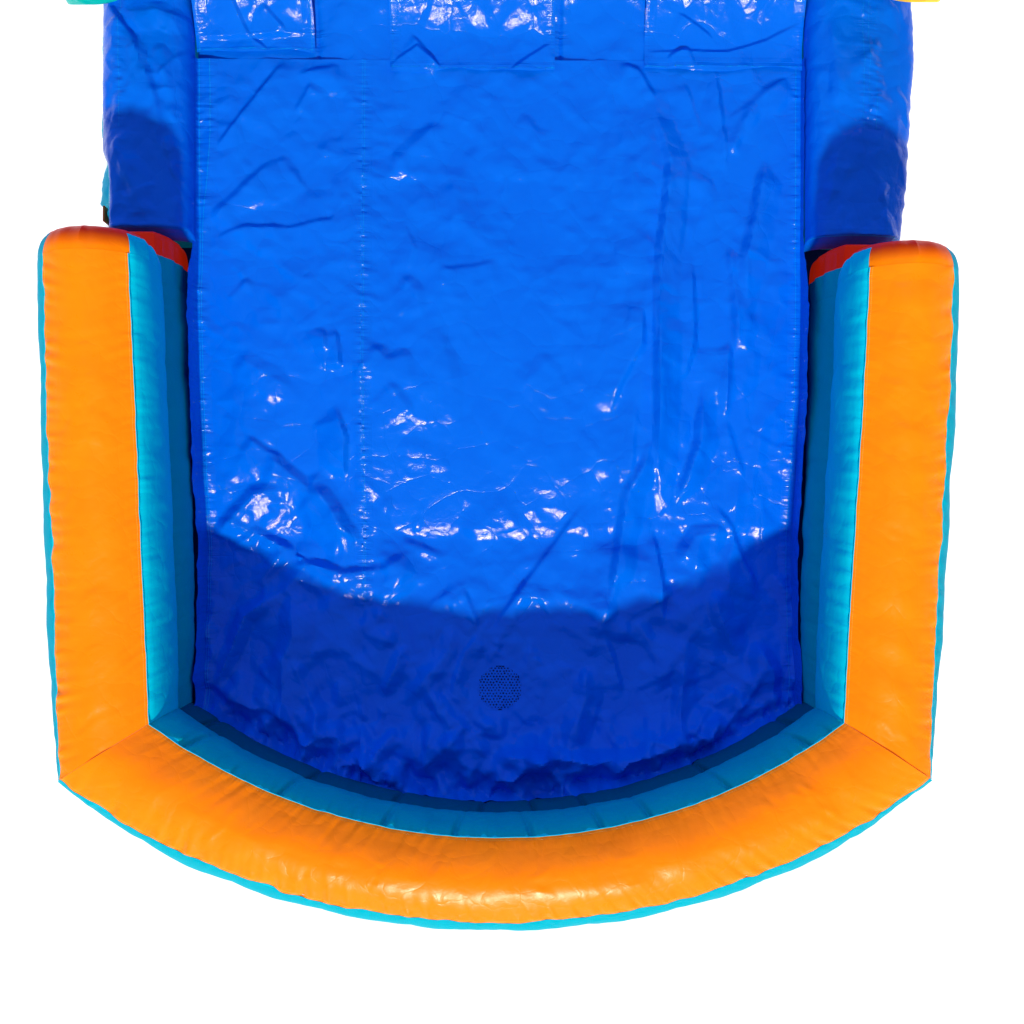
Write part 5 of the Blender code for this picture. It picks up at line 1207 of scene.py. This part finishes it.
laneBed = mattress(
    "lane_air_bed", bedRows(slope["footY"], slideTopY, 180), laneTop,
    lambda y: laneHeight(y) - bed["laneDepth"], materials["cyanFilm"], 90, channel["bedDraw"])
deckBed = mattress(
    "platform_air_bed", bedRows(slideTopY, climbTopY, 60), deckTop,
    lambda y: slope["platform"] - bed["deckDepth"] + 0 * y, materials["cyanFilm"], 91, channel["bedDraw"])
standsFor("slide_bed")
standsFor("platform_bed")


# A sheet on a channelled bed: it follows the channels, crinkled, with double rows of
# stitches in the valleys.
def bedSheet(name, rows, top, seed, relief):
    x = np.linspace(-channel["halfWidth"], channel["halfWidth"], 241)[None, :]
    x, y = np.broadcast_arrays(x, rows[:, None])
    area = (-0.8, 0.8), (rows[0], rows[-1])
    steep = (20 * relief, 80 * relief)
    lift = crumple(x, y, area, int(330 * np.ptp(rows)), seed, (0.008, 0.04), steep)
    lift += relief * waves(x, y, 0.3, seed + 1, 3)
    phase = channelPhase(x)
    toSeam = np.abs(phase - np.round(phase)) * 2 * channel["halfWidth"] / channel["count"]
    lift += 0.0016 * waves(y, x * 0.3, 0.03, seed + 2, 2) * np.exp(-toSeam / 0.015)
    lie = top(y) - channelDraw(x, channel["draw"]) + pool["gap"]
    face = joined(x, y, lie + 0.0026 + np.clip(lift, -0.0014, None))
    back, seam = joined(x, y, lie + 0.0002), joined(y, np.abs(toSeam - 0.005))
    return sheetSkin(name, face, None, materials["blueLiner"], step=3, back=back, uv=seam)


laneSheet = bedSheet("lane_face_sheet", bedRows(slope["footY"], slideTopY, 361), laneTop, 93, 0.003)
deckMat = bedSheet("platform_face_mat", bedRows(slideTopY, climbTopY, 121), deckTop, 96, 0.0016)
standsFor("lane_sheet")
standsFor("platform_mat")

# Loose-edged patches sewn across the foot of the lane: name, x from and to, front edge,
# seed, where their swelling starts, its length and height, and their folds.
footPatches = (
    ("left", -0.797, -0.486, 1.292, 11, 0.0, 0.17, 0.042,
        (((-0.70, 1.42), (-0.66, 1.33), (-0.61, 1.30)), ((-0.62, 1.40), (-0.56, 1.34)),
         ((-0.50, 1.34), (-0.79, 1.33)))),
    ("middle", -0.289, 0.144, 1.246, 12, 0.075, 0.20, 0.042,
        (((-0.285, 1.262), (-0.218, 1.305), (-0.155, 1.255)), ((-0.235, 1.34), (-0.16, 1.255)),
         ((0.03, 1.25), (0.135, 1.32)))),
    ("right", 0.380, 0.797, 1.252, 13, 0.05, 0.22, 0.036,
        (((0.385, 1.297), (0.60, 1.297), (0.70, 1.325), (0.795, 1.37)), ((0.46, 1.39), (0.56, 1.33)),
         ((0.44, 1.28), (0.50, 1.31)))),
)
patch = {"backY": 1.56, "sewnY": 1.57, "thickness": 0.0014, "hem": 0.008}
for name, left, right, front, seed, start, swellLength, swellHeight, folds in footPatches:
    across, ahead = np.linspace(left, right, 181)[None, :], np.linspace(0, 1, 121)[:, None]
    wander = 0.006 * waves(across, 0 * across, 0.3, seed, 2)
    y = front + wander * (1 - ahead) + ahead * (patch["backY"] - front)
    x = across + 0 * y
    lift = 0.007 + 0.002 * waves(x, y, 0.2, seed + 1, 2)
    area = (left, right), (front, patch["backY"])
    lift += crumple(x, y, area, 60, seed + 2, (0.008, 0.04), (0.03, 0.10), (1.5, 5))
    for line in folds:
        lift += 0.009 * foldHeight(x, y, line, 0.010, 0.06)
    lift += 0.002 * np.exp(-(((y - front) / 0.02) ** 2)) * (1 + waves(x, y, 0.12, seed + 3, 2))
    lift += swellHeight * smoothStep((y - front - start) / swellLength)
    lift = np.clip(lift, 0.0055, None) * smoothStep((1.575 - y) / 0.08)
    hems = x - left - patch["hem"], right - patch["hem"] - x, y - front - 0.01
    seam = joined(y, np.min(np.abs(hems), axis=0))
    face = joined(x, y, laneTop(y) + 0.0035 + lift)
    down = np.array((0, 0, -patch["thickness"]))
    cloth = sheetSkin(f"lane_foot_{name}", face, down, materials["blueLiner"], uv=seam)
print("slide done")


# climbing wall: panels swell between the flat strips that carry the steps
climb = {
    "steps": (0.16, 0.38, 0.60, 0.82), "seat": 0.14, "swell": 0.03, "radius": 0.055,
    "halfLength": 0.56, "loopX": 0.68, "loopReach": 0.075, "loopRise": 0.055, "strapWidth": 0.04,
    "backs": ((4.0752, 0.0), (3.8652, 0.4402), (climbTopY, 0.8806), (climbTopY, 1.09)),
}
climbLength = math.hypot(slope["climbRun"], slope["platform"])
alongY, alongZ = slope["climbRun"] / climbLength, -slope["platform"] / climbLength


# a point on the face at a share of its length from the top, lifted square to it
def climbPoint(share, lift):
    y = mix(climbTopY, climbFootY, share) - alongZ * lift
    return y, mix(slope["platform"], 0.0, share) + alongY * lift


def climbingWall():
    seat = climb["seat"] / climbLength / 2
    edges = [0.0, *(place + way * seat for place in climb["steps"] for way in (-1, 1)), 1.0]
    share = np.linspace(0, 1, 221)
    swell = np.zeros(share.shape)
    for low, high in zip(edges[::2], edges[1::2]):
        part = np.clip((share - low) / (high - low), 0, 1)
        swell += climb["swell"] * np.sin(math.pi * part) ** 0.7
    toSeam = np.min([np.abs(share - edge) for edge in edges], axis=0) * climbLength
    x = np.linspace(-channel["halfWidth"], channel["halfWidth"], 141)[:, None]
    atSide = smoothStep((channel["halfWidth"] - np.abs(x)) / 0.06)
    ruck = waves(x, share[None, :] * 0.3, 0.05, 110, 2) * np.exp(-toSeam / 0.03)[None, :]
    lift = swell[None, :] * (0.25 + 0.75 * atSide) + 0.0022 * ruck - 0.001
    places = np.broadcast_arrays(x, share[None, :] * climbLength)
    lift = lift + crumple(*places, ((-0.8, 0.8), (0, climbLength)), 260, 111, (0.006, 0.03), (0.03, 0.1))
    y, z = climbPoint(share[None, :], np.clip(lift, -0.002, None))
    backY, backZ = np.array(climb["backs"]).T
    rings = np.concatenate((joined(x, y, np.clip(z, 0, None)), joined(x, backY, backZ)), 1)
    away = np.concatenate((toSeam, np.full(backY.size, 0.1)))
    body = skin("climbing_face", rings, materials["blueCover"], joined(x, away))
    standsFor("climbing_wall")


# A step: a half round of radius r on the strip, with domed ends and puckers round its
# sewn base.
def climbingStep(number, place, finish):
    radius, half = climb["radius"], climb["halfLength"] - climb["radius"]
    reach = radius * np.sin(np.linspace(0, math.pi / 2, 16))
    x = np.concatenate((-half - reach[::-1], np.linspace(-half, half, 100)[1:-1], half + reach))[:, None]
    over = np.clip(np.abs(x) - half, 0, None) / radius
    size = radius * np.sqrt(np.clip(1 - over**2, 0.04, 1))
    turn = np.linspace(0, math.pi, 34)[None, :]
    base = np.linspace(1, -1, 10)[None, 1:-1]
    ruck = 1 + 0.02 * waves(x, turn * 0.01, 0.03, 120 + number, 2) * np.exp(-np.sin(turn) / 0.35)
    along = np.concatenate((-size * ruck * np.cos(turn), size * base), 1)
    out = np.concatenate((size * ruck * np.sin(turn), 0 * size * base), 1) + 0.0004
    y, z = climbPoint(place + along / climbLength, out)
    away = np.concatenate((np.minimum(turn, math.pi - turn) * radius, 0 * base + 0.05), 1)
    seam = joined(x, np.abs(away - 0.006))
    step = skin(f"climbing_bolster_{number}", joined(x, y, z), finish, seam)
    standsFor(f"climbing_step_{number}")


# A hand loop: flat sewn ends, and between them an arch of rise * sin(a)^0.85.
def handLoop(side, name, place):
    turn = np.linspace(0, math.pi, 41)
    end = np.linspace(0.0765, 0.091, 5)
    along = np.concatenate((-end[::-1], -climb["loopReach"] * np.cos(turn), end))
    rise = np.concatenate((np.zeros(5), climb["loopRise"] * np.sin(turn) ** 0.85, np.zeros(5)))
    y, z = climbPoint(place, rise + 0.0024)
    path = joined(side * climb["loopX"] + along, y, z)
    wide = (0, alongY, alongZ)
    strap = ribbon(f"{name}_strap", path, wide, climb["strapWidth"], 0.0038, materials["webbing"])
    standsFor(f"{name}_hand_loop")


climbingWall()
for number, place in enumerate(climb["steps"], 1):
    colour = "yellow" if number % 2 else "green"
    climbingStep(number, place, materials[f"{colour}Film"])
for side, name in sides:
    handLoop(side, f"{name}_upper", climb["steps"][1])
    handLoop(side, f"{name}_lower", climb["steps"][3])
print("climbing wall done")


# slide side walls and their rails
sideWall = {
    "inner": 0.80, "outer": 1.02, "frontY": 1.4503, "backY": climbFootY + 0.035, "flatBase": 0.24,
    "swell": 0.045, "innerSwell": 0.02, "pitch": 0.26, "railWidth": 0.21, "railHeight": 0.15,
    "nose": {-1: 0.166, 1: 0.150}, "noseFlare": {-1: 0.09, 1: 0.115}, "noseDrop": 0.06, "tail": 0.07,
    "tailSlope": 1.7, "railWaist": 0.03, "railMiddle": 0.91,
    "endRound": (0.012, 0.035), "overLane": 0.40, "turnY": 1.9503, "headReach": 0.16,
    "heights": (0.45, 1.88, 0.52),  # in front, at the platform, at the back
}
frontHigh, topHigh, backHigh = sideWall["heights"]
laneYs = (sideWall["turnY"], slideTopY - sideWall["headReach"])
wallKnots = (
    (sideWall["frontY"], frontHigh),
    *((y, float(laneHeight(y)) + sideWall["overLane"]) for y in laneYs),
    (slideTopY + sideWall["headReach"], topHigh),
    (climbTopY, topHigh),
    (sideWall["backY"], backHigh),
)


def wallTop(y):
    return np.interp(y, *zip(*wallKnots))


# the line below which a side wall's inner face is hidden by the lane or the climbing wall
def wallFloor(y):
    share = np.clip((y - climbTopY) / slope["climbRun"], 0, 1)
    behind = mix(slope["platform"], 0.0, share) + 0.0303 * climbLength / slope["climbRun"]
    return np.where(y <= climbTopY, laneHeight(y), behind)


# rows along the wall, with each one's place inside its bay between two baffles
def wallRows(perBay=12):
    rows, phases = [sideWall["frontY"]], [0.0]
    for (start, _), (end, _) in zip(wallKnots, wallKnots[1:]):
        bays = max(1, round((end - start) / sideWall["pitch"]))
        for k in range(1, bays * perBay + 1):
            rows.append(start + (end - start) * k / (bays * perBay))
            phases.append(k / perBay % 1)
    return np.array(rows), np.array(phases)


# A side wall: its outer face swells by swell * sin(pi t)^0.8 between the baffles, its
# inner face by less, and the skin is puckered beside them.
def buildSlideWall(side, name):
    y, phase = wallRows()
    roundFront, roundBack = sideWall["endRound"]
    y = mix(y[0] + roundFront, y[-1] - roundBack, (y - y[0]) / np.ptp(y))
    top, low = wallTop(y)[:, None], (wallFloor(y) + 0.03)[:, None]
    full = (0.2 + 0.8 * np.sin(math.pi * phase) ** 0.6)[:, None]
    toBaffle = (np.minimum(phase, 1 - phase) * sideWall["pitch"])[:, None]
    up, down = np.linspace(0, 1, 40)[None, :], np.linspace(1, 0, 26)[None, :]
    level = mix(sideWall["flatBase"], top, up)
    rows = y[:, None] + 0 * level
    fold = crumple(rows, level, ((1.45, 4.31), (0.2, 1.9)), 700, 130 + side, (0.006, 0.03), (0.03, 0.1))
    ruck = 0.004 * waves(level, rows * 0.2, 0.07, 132 + side, 2) * np.exp(-toBaffle / 0.04)
    arch = np.sin(math.pi * up)
    outX = sideWall["outer"] + sideWall["swell"] * full * arch**0.8 + (fold + ruck) * arch
    inX = sideWall["inner"] - sideWall["innerSwell"] * full * np.sin(math.pi * down) ** 0.8
    base = np.linspace(0, 1, 8)[None, :-1] + 0 * top
    under = joined(mix(sideWall["inner"] + 0.002, sideWall["outer"], base), 0 * base)
    foot = joined(sideWall["outer"], sideWall["flatBase"] * np.linspace(0, 1, 7)[None, :] + 0 * top)
    inner = joined(inX, mix(low, top, down))
    lining = joined(sideWall["inner"], mix(low, 0.0, base))
    section = np.concatenate((under, foot, joined(outX, level), inner, lining), 1)
    rings = joined(side * section[..., 0], y[:, None], section[..., 1])
    seam = joined(rings[..., 2], toBaffle)
    # each end rounds off: the section shrinks by cos(a)^0.15 while y moves on by sin(a)
    angle = np.radians(np.arange(6, 85, 6))[:, None, None]
    for row, reach in ((0, -roundFront), (-1, roundBack)):
        middle = (rings[row].max(0) + rings[row].min(0)) / 2
        ends = middle + (rings[row] - middle)[None] * np.cos(angle) ** 0.15
        ends = ends + reach * np.sin(angle) * np.array((0, 1, 0))
        endSeam = joined(ends[..., 2], 0.05)
        rings = np.concatenate((rings, ends) if row else (ends[::-1], rings))
        seam = np.concatenate((seam, endSeam) if row else (endSeam, seam))
    piece = skin(f"{name}_side_tube", rings, materials["cyanFilm"], seam)
    standsFor(f"{name}_slide_wall")


def evened(values):
    return np.convolve(np.pad(values, 4, "edge"), np.full(9, 1 / 9), "valid")


# A rail: half round above, flat below, as high as the top edge is steep. Its nose drops
# and turns outwards in front, and both ends are domed.
def buildRail(side, name, finish):
    y, phase = wallRows(10)
    dome = np.sin(np.linspace(math.pi / 2, 0.12, 16))
    nose, tail = y[0] - sideWall["nose"][side] * dome, y[-1] + sideWall["tail"] * dome[::-1]
    stations = np.concatenate((nose[:-1], y, tail[1:]))
    reach = np.concatenate((dome[:-1], np.zeros(y.size + dome.size - 1)))
    over = np.concatenate((dome[:-1], 0 * y, dome[::-1][1:]))
    size = np.sqrt(np.clip(1 - over**2, 0.012, 1)) ** 0.8
    phases = np.concatenate((np.full(15, 0.5), phase, np.full(15, 0.5)))
    size = size * (1 - sideWall["railWaist"] * (1 - np.sin(math.pi * phases) ** 0.5))
    line = wallTop(stations) - sideWall["tailSlope"] * np.clip(stations - y[-1], 0, None)
    height = sideWall["railHeight"] * np.hypot(1, np.gradient(line, stations))
    # round the platform the top is the lowest of the edge's lines, each moved out square
    tops = []
    for (startY, startZ), (endY, endZ) in zip(wallKnots[2:], wallKnots[3:]):
        tilt = (endZ - startZ) / (endY - startY)
        tops.append(startZ + tilt * (stations - startY) + sideWall["railHeight"] * math.hypot(1, tilt))
    behind = (stations > wallKnots[2][0]) & (stations < y[-1])
    height = np.where(behind, np.min(tops, 0) - line, height)
    height = np.where(stations > slideTopY, evened(line + height) - line, evened(height))
    base = line + 0.0004 - sideWall["noseDrop"] * reach
    middle = sideWall["railMiddle"] + sideWall["noseFlare"][side] * reach**2
    turn = np.linspace(0, math.pi, 46)
    flat = np.linspace(-1, 1, 16)[1:-1]
    ringX = np.concatenate((np.cos(turn), flat))
    ringZ = np.concatenate((np.sin(turn) ** 0.9 - 0.5, np.full(flat.size, -0.5)))
    x = middle[:, None] + sideWall["railWidth"] / 2 * size[:, None] * ringX
    z = (base + height / 2)[:, None] + height[:, None] * ringZ * size[:, None]
    fading = np.exp(-np.abs(ringZ + 0.5) / 0.3) * (ringZ > -0.49)
    ruck = 0.002 * waves(stations[:, None], ringX[None, :], 0.06, 140 + side, 2) * fading
    rings = joined(side * (x + ruck * np.sign(ringX)), stations[:, None], z)
    toBase = (ringZ + 0.5)[None, :] * height[:, None]
    seam = joined(rings[..., 1], np.abs(toBase - 0.012))
    piece = skin(f"{name}_rail_tube", rings, finish, seam, sharp=60)
    standsFor(f"{name}_slide_rail")


for side, name in sides:
    buildSlideWall(side, name)
buildRail(-1, "left", materials["greenFilm"])
buildRail(1, "right", materials["yellowFilm"])
print("side walls and rails done")


# anchor tabs and rings: each tab runs down the wall, round its ring's bar and up again
anchor = {
    "y": {"landing": 0.855, "middle": 2.3021, "back": 3.9502}, "bar": (1.0269, 0.14), "radius": 0.005,
    "under": 1.0212, "over": 1.0237, "topZ": 0.21, "width": 0.04, "thickness": 0.0016,
}


def dress(name, finish):
    nodes[name].data.materials.clear()
    nodes[name].data.materials.append(materials[finish])


barX, barZ = anchor["bar"]
turn = np.linspace(math.pi, 2.35 * math.pi, 22)
down, up = np.linspace(anchor["topZ"], 0.146, 10), np.linspace(0.155, anchor["topZ"], 9)
roundX = barX + anchor["radius"] * np.cos(turn)
tabX = np.concatenate((0 * down + anchor["under"], roundX, 0 * up + anchor["over"]))
tabZ = np.concatenate((down, barZ + anchor["radius"] * np.sin(turn), up))
for side, name in sides:
    for place, y in anchor["y"].items():
        tab = ribbon(
            f"{name}_{place}_tab_strap", joined(side * tabX, y, tabZ), (0, 1, 0), anchor["width"],
            anchor["thickness"], materials["webbing"])
        standsFor(f"{name}_{place}_anchor_tab")
        dress(f"{name}_{place}_anchor_ring", "steel")
dress("deflation_zip_tape", "zipTape")
dress("deflation_zip_slider", "steel")

# The inlet's cloth is gathered under its strap: its radius falls there by a narrow bell,
# and by pleats that begin past its sewn root.
inlet = {
    "x": -0.91, "z": 0.0883, "radius": 0.085, "startY": 4.3108, "length": 0.449,
    "strapShare": 0.7, "thickness": 0.0022, "strapHalf": 0.015, "flat": (0.534, 0.45),
}
strapY = inlet["startY"] + inlet["length"] * inlet["strapShare"] + inlet["strapHalf"]
along, turn = np.linspace(0, 1, 120)[None, :], np.linspace(0, 2 * math.pi, 181)[:-1][:, None]
fromRoot = inlet["length"] * along
y = inlet["startY"] + fromRoot
drawn = np.exp(-(((y - strapY) / 0.03) ** 2))
pleats = 0.0022 * waves(np.cos(turn) * 3, np.sin(turn) * 3, 0.8, 150, 2)
pleats = pleats * np.clip((fromRoot - 0.03) / 0.1, 0, 1)
radius = inlet["radius"] - 0.0032 - np.abs(pleats) * (0.6 + drawn) - 0.002 * drawn


# a tube of two turned surfaces, outer and inner, round the inlet's axis
def inletTube(name, y, outer, inner, finish, seam=None):
    turned = joined(np.cos(turn), 0.0, np.sin(turn))
    middle = joined(inlet["x"], y, inlet["z"])
    shells = [middle + shell[..., None] * turned for shell in (outer, inner)]
    return hoop(name, np.concatenate((shells[0], shells[1][:, ::-1]), 1), materials[finish], seam)


away = np.minimum(np.abs(fromRoot - inlet["length"] + 0.012), np.abs(fromRoot - 0.01))
seam = joined(turn * inlet["radius"], away)
seam = np.concatenate((seam, np.full(seam.shape, 0.5)), 1)
sleeve = inletTube("air_inlet_cloth", y, radius, radius - inlet["thickness"], "cyanFilm", seam)
standsFor("air_inlet_sleeve")
width = np.linspace(-inlet["strapHalf"], inlet["strapHalf"], 7)[None, :]
radius = inlet["radius"] - 0.0015 + 0.0004 * np.sin(9 * turn) + 0 * width
strap = inletTube("air_inlet_tie", strapY + width, radius + 0.0014, radius - 0.0004, "webbing")
standsFor("air_inlet_tie_strap")

# the deflation port's hem, a rounded bar, and the flap that hangs from it
port = {
    "frontY": 3.2702, "backY": 3.6902, "face": 1.0206, "hemZ": 0.205, "hemHeight": 0.02,
    "hemThick": 0.0135, "flapX": 1.0335, "flapHeight": 0.14, "flapThick": 0.002, "flapFlat": (0.42, 0.14),
}


def squared(wave):
    return 0.5 + 0.5 * np.sign(wave) * np.abs(wave) ** 0.5


y = np.linspace(port["frontY"], port["backY"], 80)[:, None]
turn = np.linspace(0, 2 * math.pi, 25)[None, :-1]
hemX = port["face"] + port["hemThick"] * squared(np.cos(turn))
hemZ = port["hemZ"] + port["hemHeight"] * squared(np.sin(turn))
seam = joined(y, np.abs(hemZ - port["hemZ"] - port["hemHeight"] / 2))
hem = skin("deflation_flap_seam", joined(hemX, y, hemZ), materials["cyanFilm"], seam)
standsFor("deflation_flap_hem")
y = y.T
down = np.linspace(0, 1, 41)[:, None]
flapZ = port["hemZ"] - 0.0003 - port["flapHeight"] * down + 0 * y
flapX = port["flapX"] + 0.0028 * down * (0.3 + 0.5 * waves(y, down * 0.1, 0.2, 160, 2))
away = np.min(np.broadcast_arrays(y - y.min(), y.max() - y, (1 - down) * port["flapHeight"]), axis=0)
flap = sheetSkin(
    "deflation_flap_cloth", joined(flapX, y, flapZ), np.array((-port["flapThick"], 0, 0)),
    materials["cyanFilm"], uv=joined(y + flapZ, np.abs(away - 0.008)), body="deflation_flap")
standsFor("deflation_flap")
print("fittings done")


# camera, floor and light
camera = {"height": 3.1626, "lens": 40.43, "sensor": 36, "aim": (0.033, 0.0907, 0.0)}
eye = Vector((0, 0, camera["height"]))
backwards = (eye - Vector(camera["aim"])).normalized()
rightwards = Vector((0, 1, 0)).cross(backwards).normalized()
upwards = backwards.cross(rightwards)
cameraData = bpy.data.cameras.new("camera")
cameraData.lens = camera["lens"]
cameraData.sensor_width = camera["sensor"]
cameraObject = bpy.data.objects.new("camera", cameraData)
turned = Matrix((rightwards, upwards, backwards)).transposed().to_4x4()
cameraObject.matrix_world = Matrix.Translation(eye) @ turned
bpy.context.scene.collection.objects.link(cameraObject)
bpy.context.scene.camera = cameraObject

floor = {"half": 30, "z": -0.001}
floorLook = {
    "Base Color": (0.97, 1.0, 1.0, 1), "Roughness": 0.9, "Specular IOR Level": 0.1,
    "Emission Color": (1, 1, 1, 1), "Emission Strength": 0.25,
}
floorMesh = bpy.data.meshes.new("floor")
around = ((-1, -1), (1, -1), (1, 1), (-1, 1))
corners = [(x * floor["half"], y * floor["half"], floor["z"]) for x, y in around]
floorMesh.from_pydata(corners, [], [(0, 1, 2, 3)])
floorFinish = bpy.data.materials.new("floor")
floorFinish.use_nodes = True
for socket, value in floorLook.items():
    floorFinish.node_tree.nodes["Principled BSDF"].inputs[socket].default_value = value
floorMesh.materials.append(floorFinish)
floorObject = bpy.data.objects.new("floor", floorMesh)
bpy.context.scene.collection.objects.link(floorObject)

# a warm key from the front and a soft bluish fill from behind: turns in degrees
light = {
    "key": {"energy": 4.1, "colour": (1.0, 0.83, 0.66), "softness": 2.5, "turn": (50, 0, 0)},
    "fill": {"energy": 0.85, "colour": (0.12, 0.45, 1.0), "softness": 50, "turn": (-42, 0, 14)},
    "sky": (0.26, 0.235, 0.31),
}
for name in ("key", "fill"):
    sunData = bpy.data.lights.new(name, "SUN")
    sunData.energy = light[name]["energy"]
    sunData.color = light[name]["colour"]
    sunData.angle = math.radians(light[name]["softness"])
    sunObject = bpy.data.objects.new(name, sunData)
    sunObject.rotation_euler = [math.radians(a) for a in light[name]["turn"]]
    sunObject.visible_glossy = name == "key"
    bpy.context.scene.collection.objects.link(sunObject)
world = bpy.data.worlds.new("world")
world.use_nodes = True
world.node_tree.nodes["Background"].inputs["Color"].default_value = (*light["sky"], 1)
world.node_tree.nodes["Background"].inputs["Strength"].default_value = 1.0
bpy.context.scene.world = world
bpy.context.scene.view_settings.view_transform = "Standard"
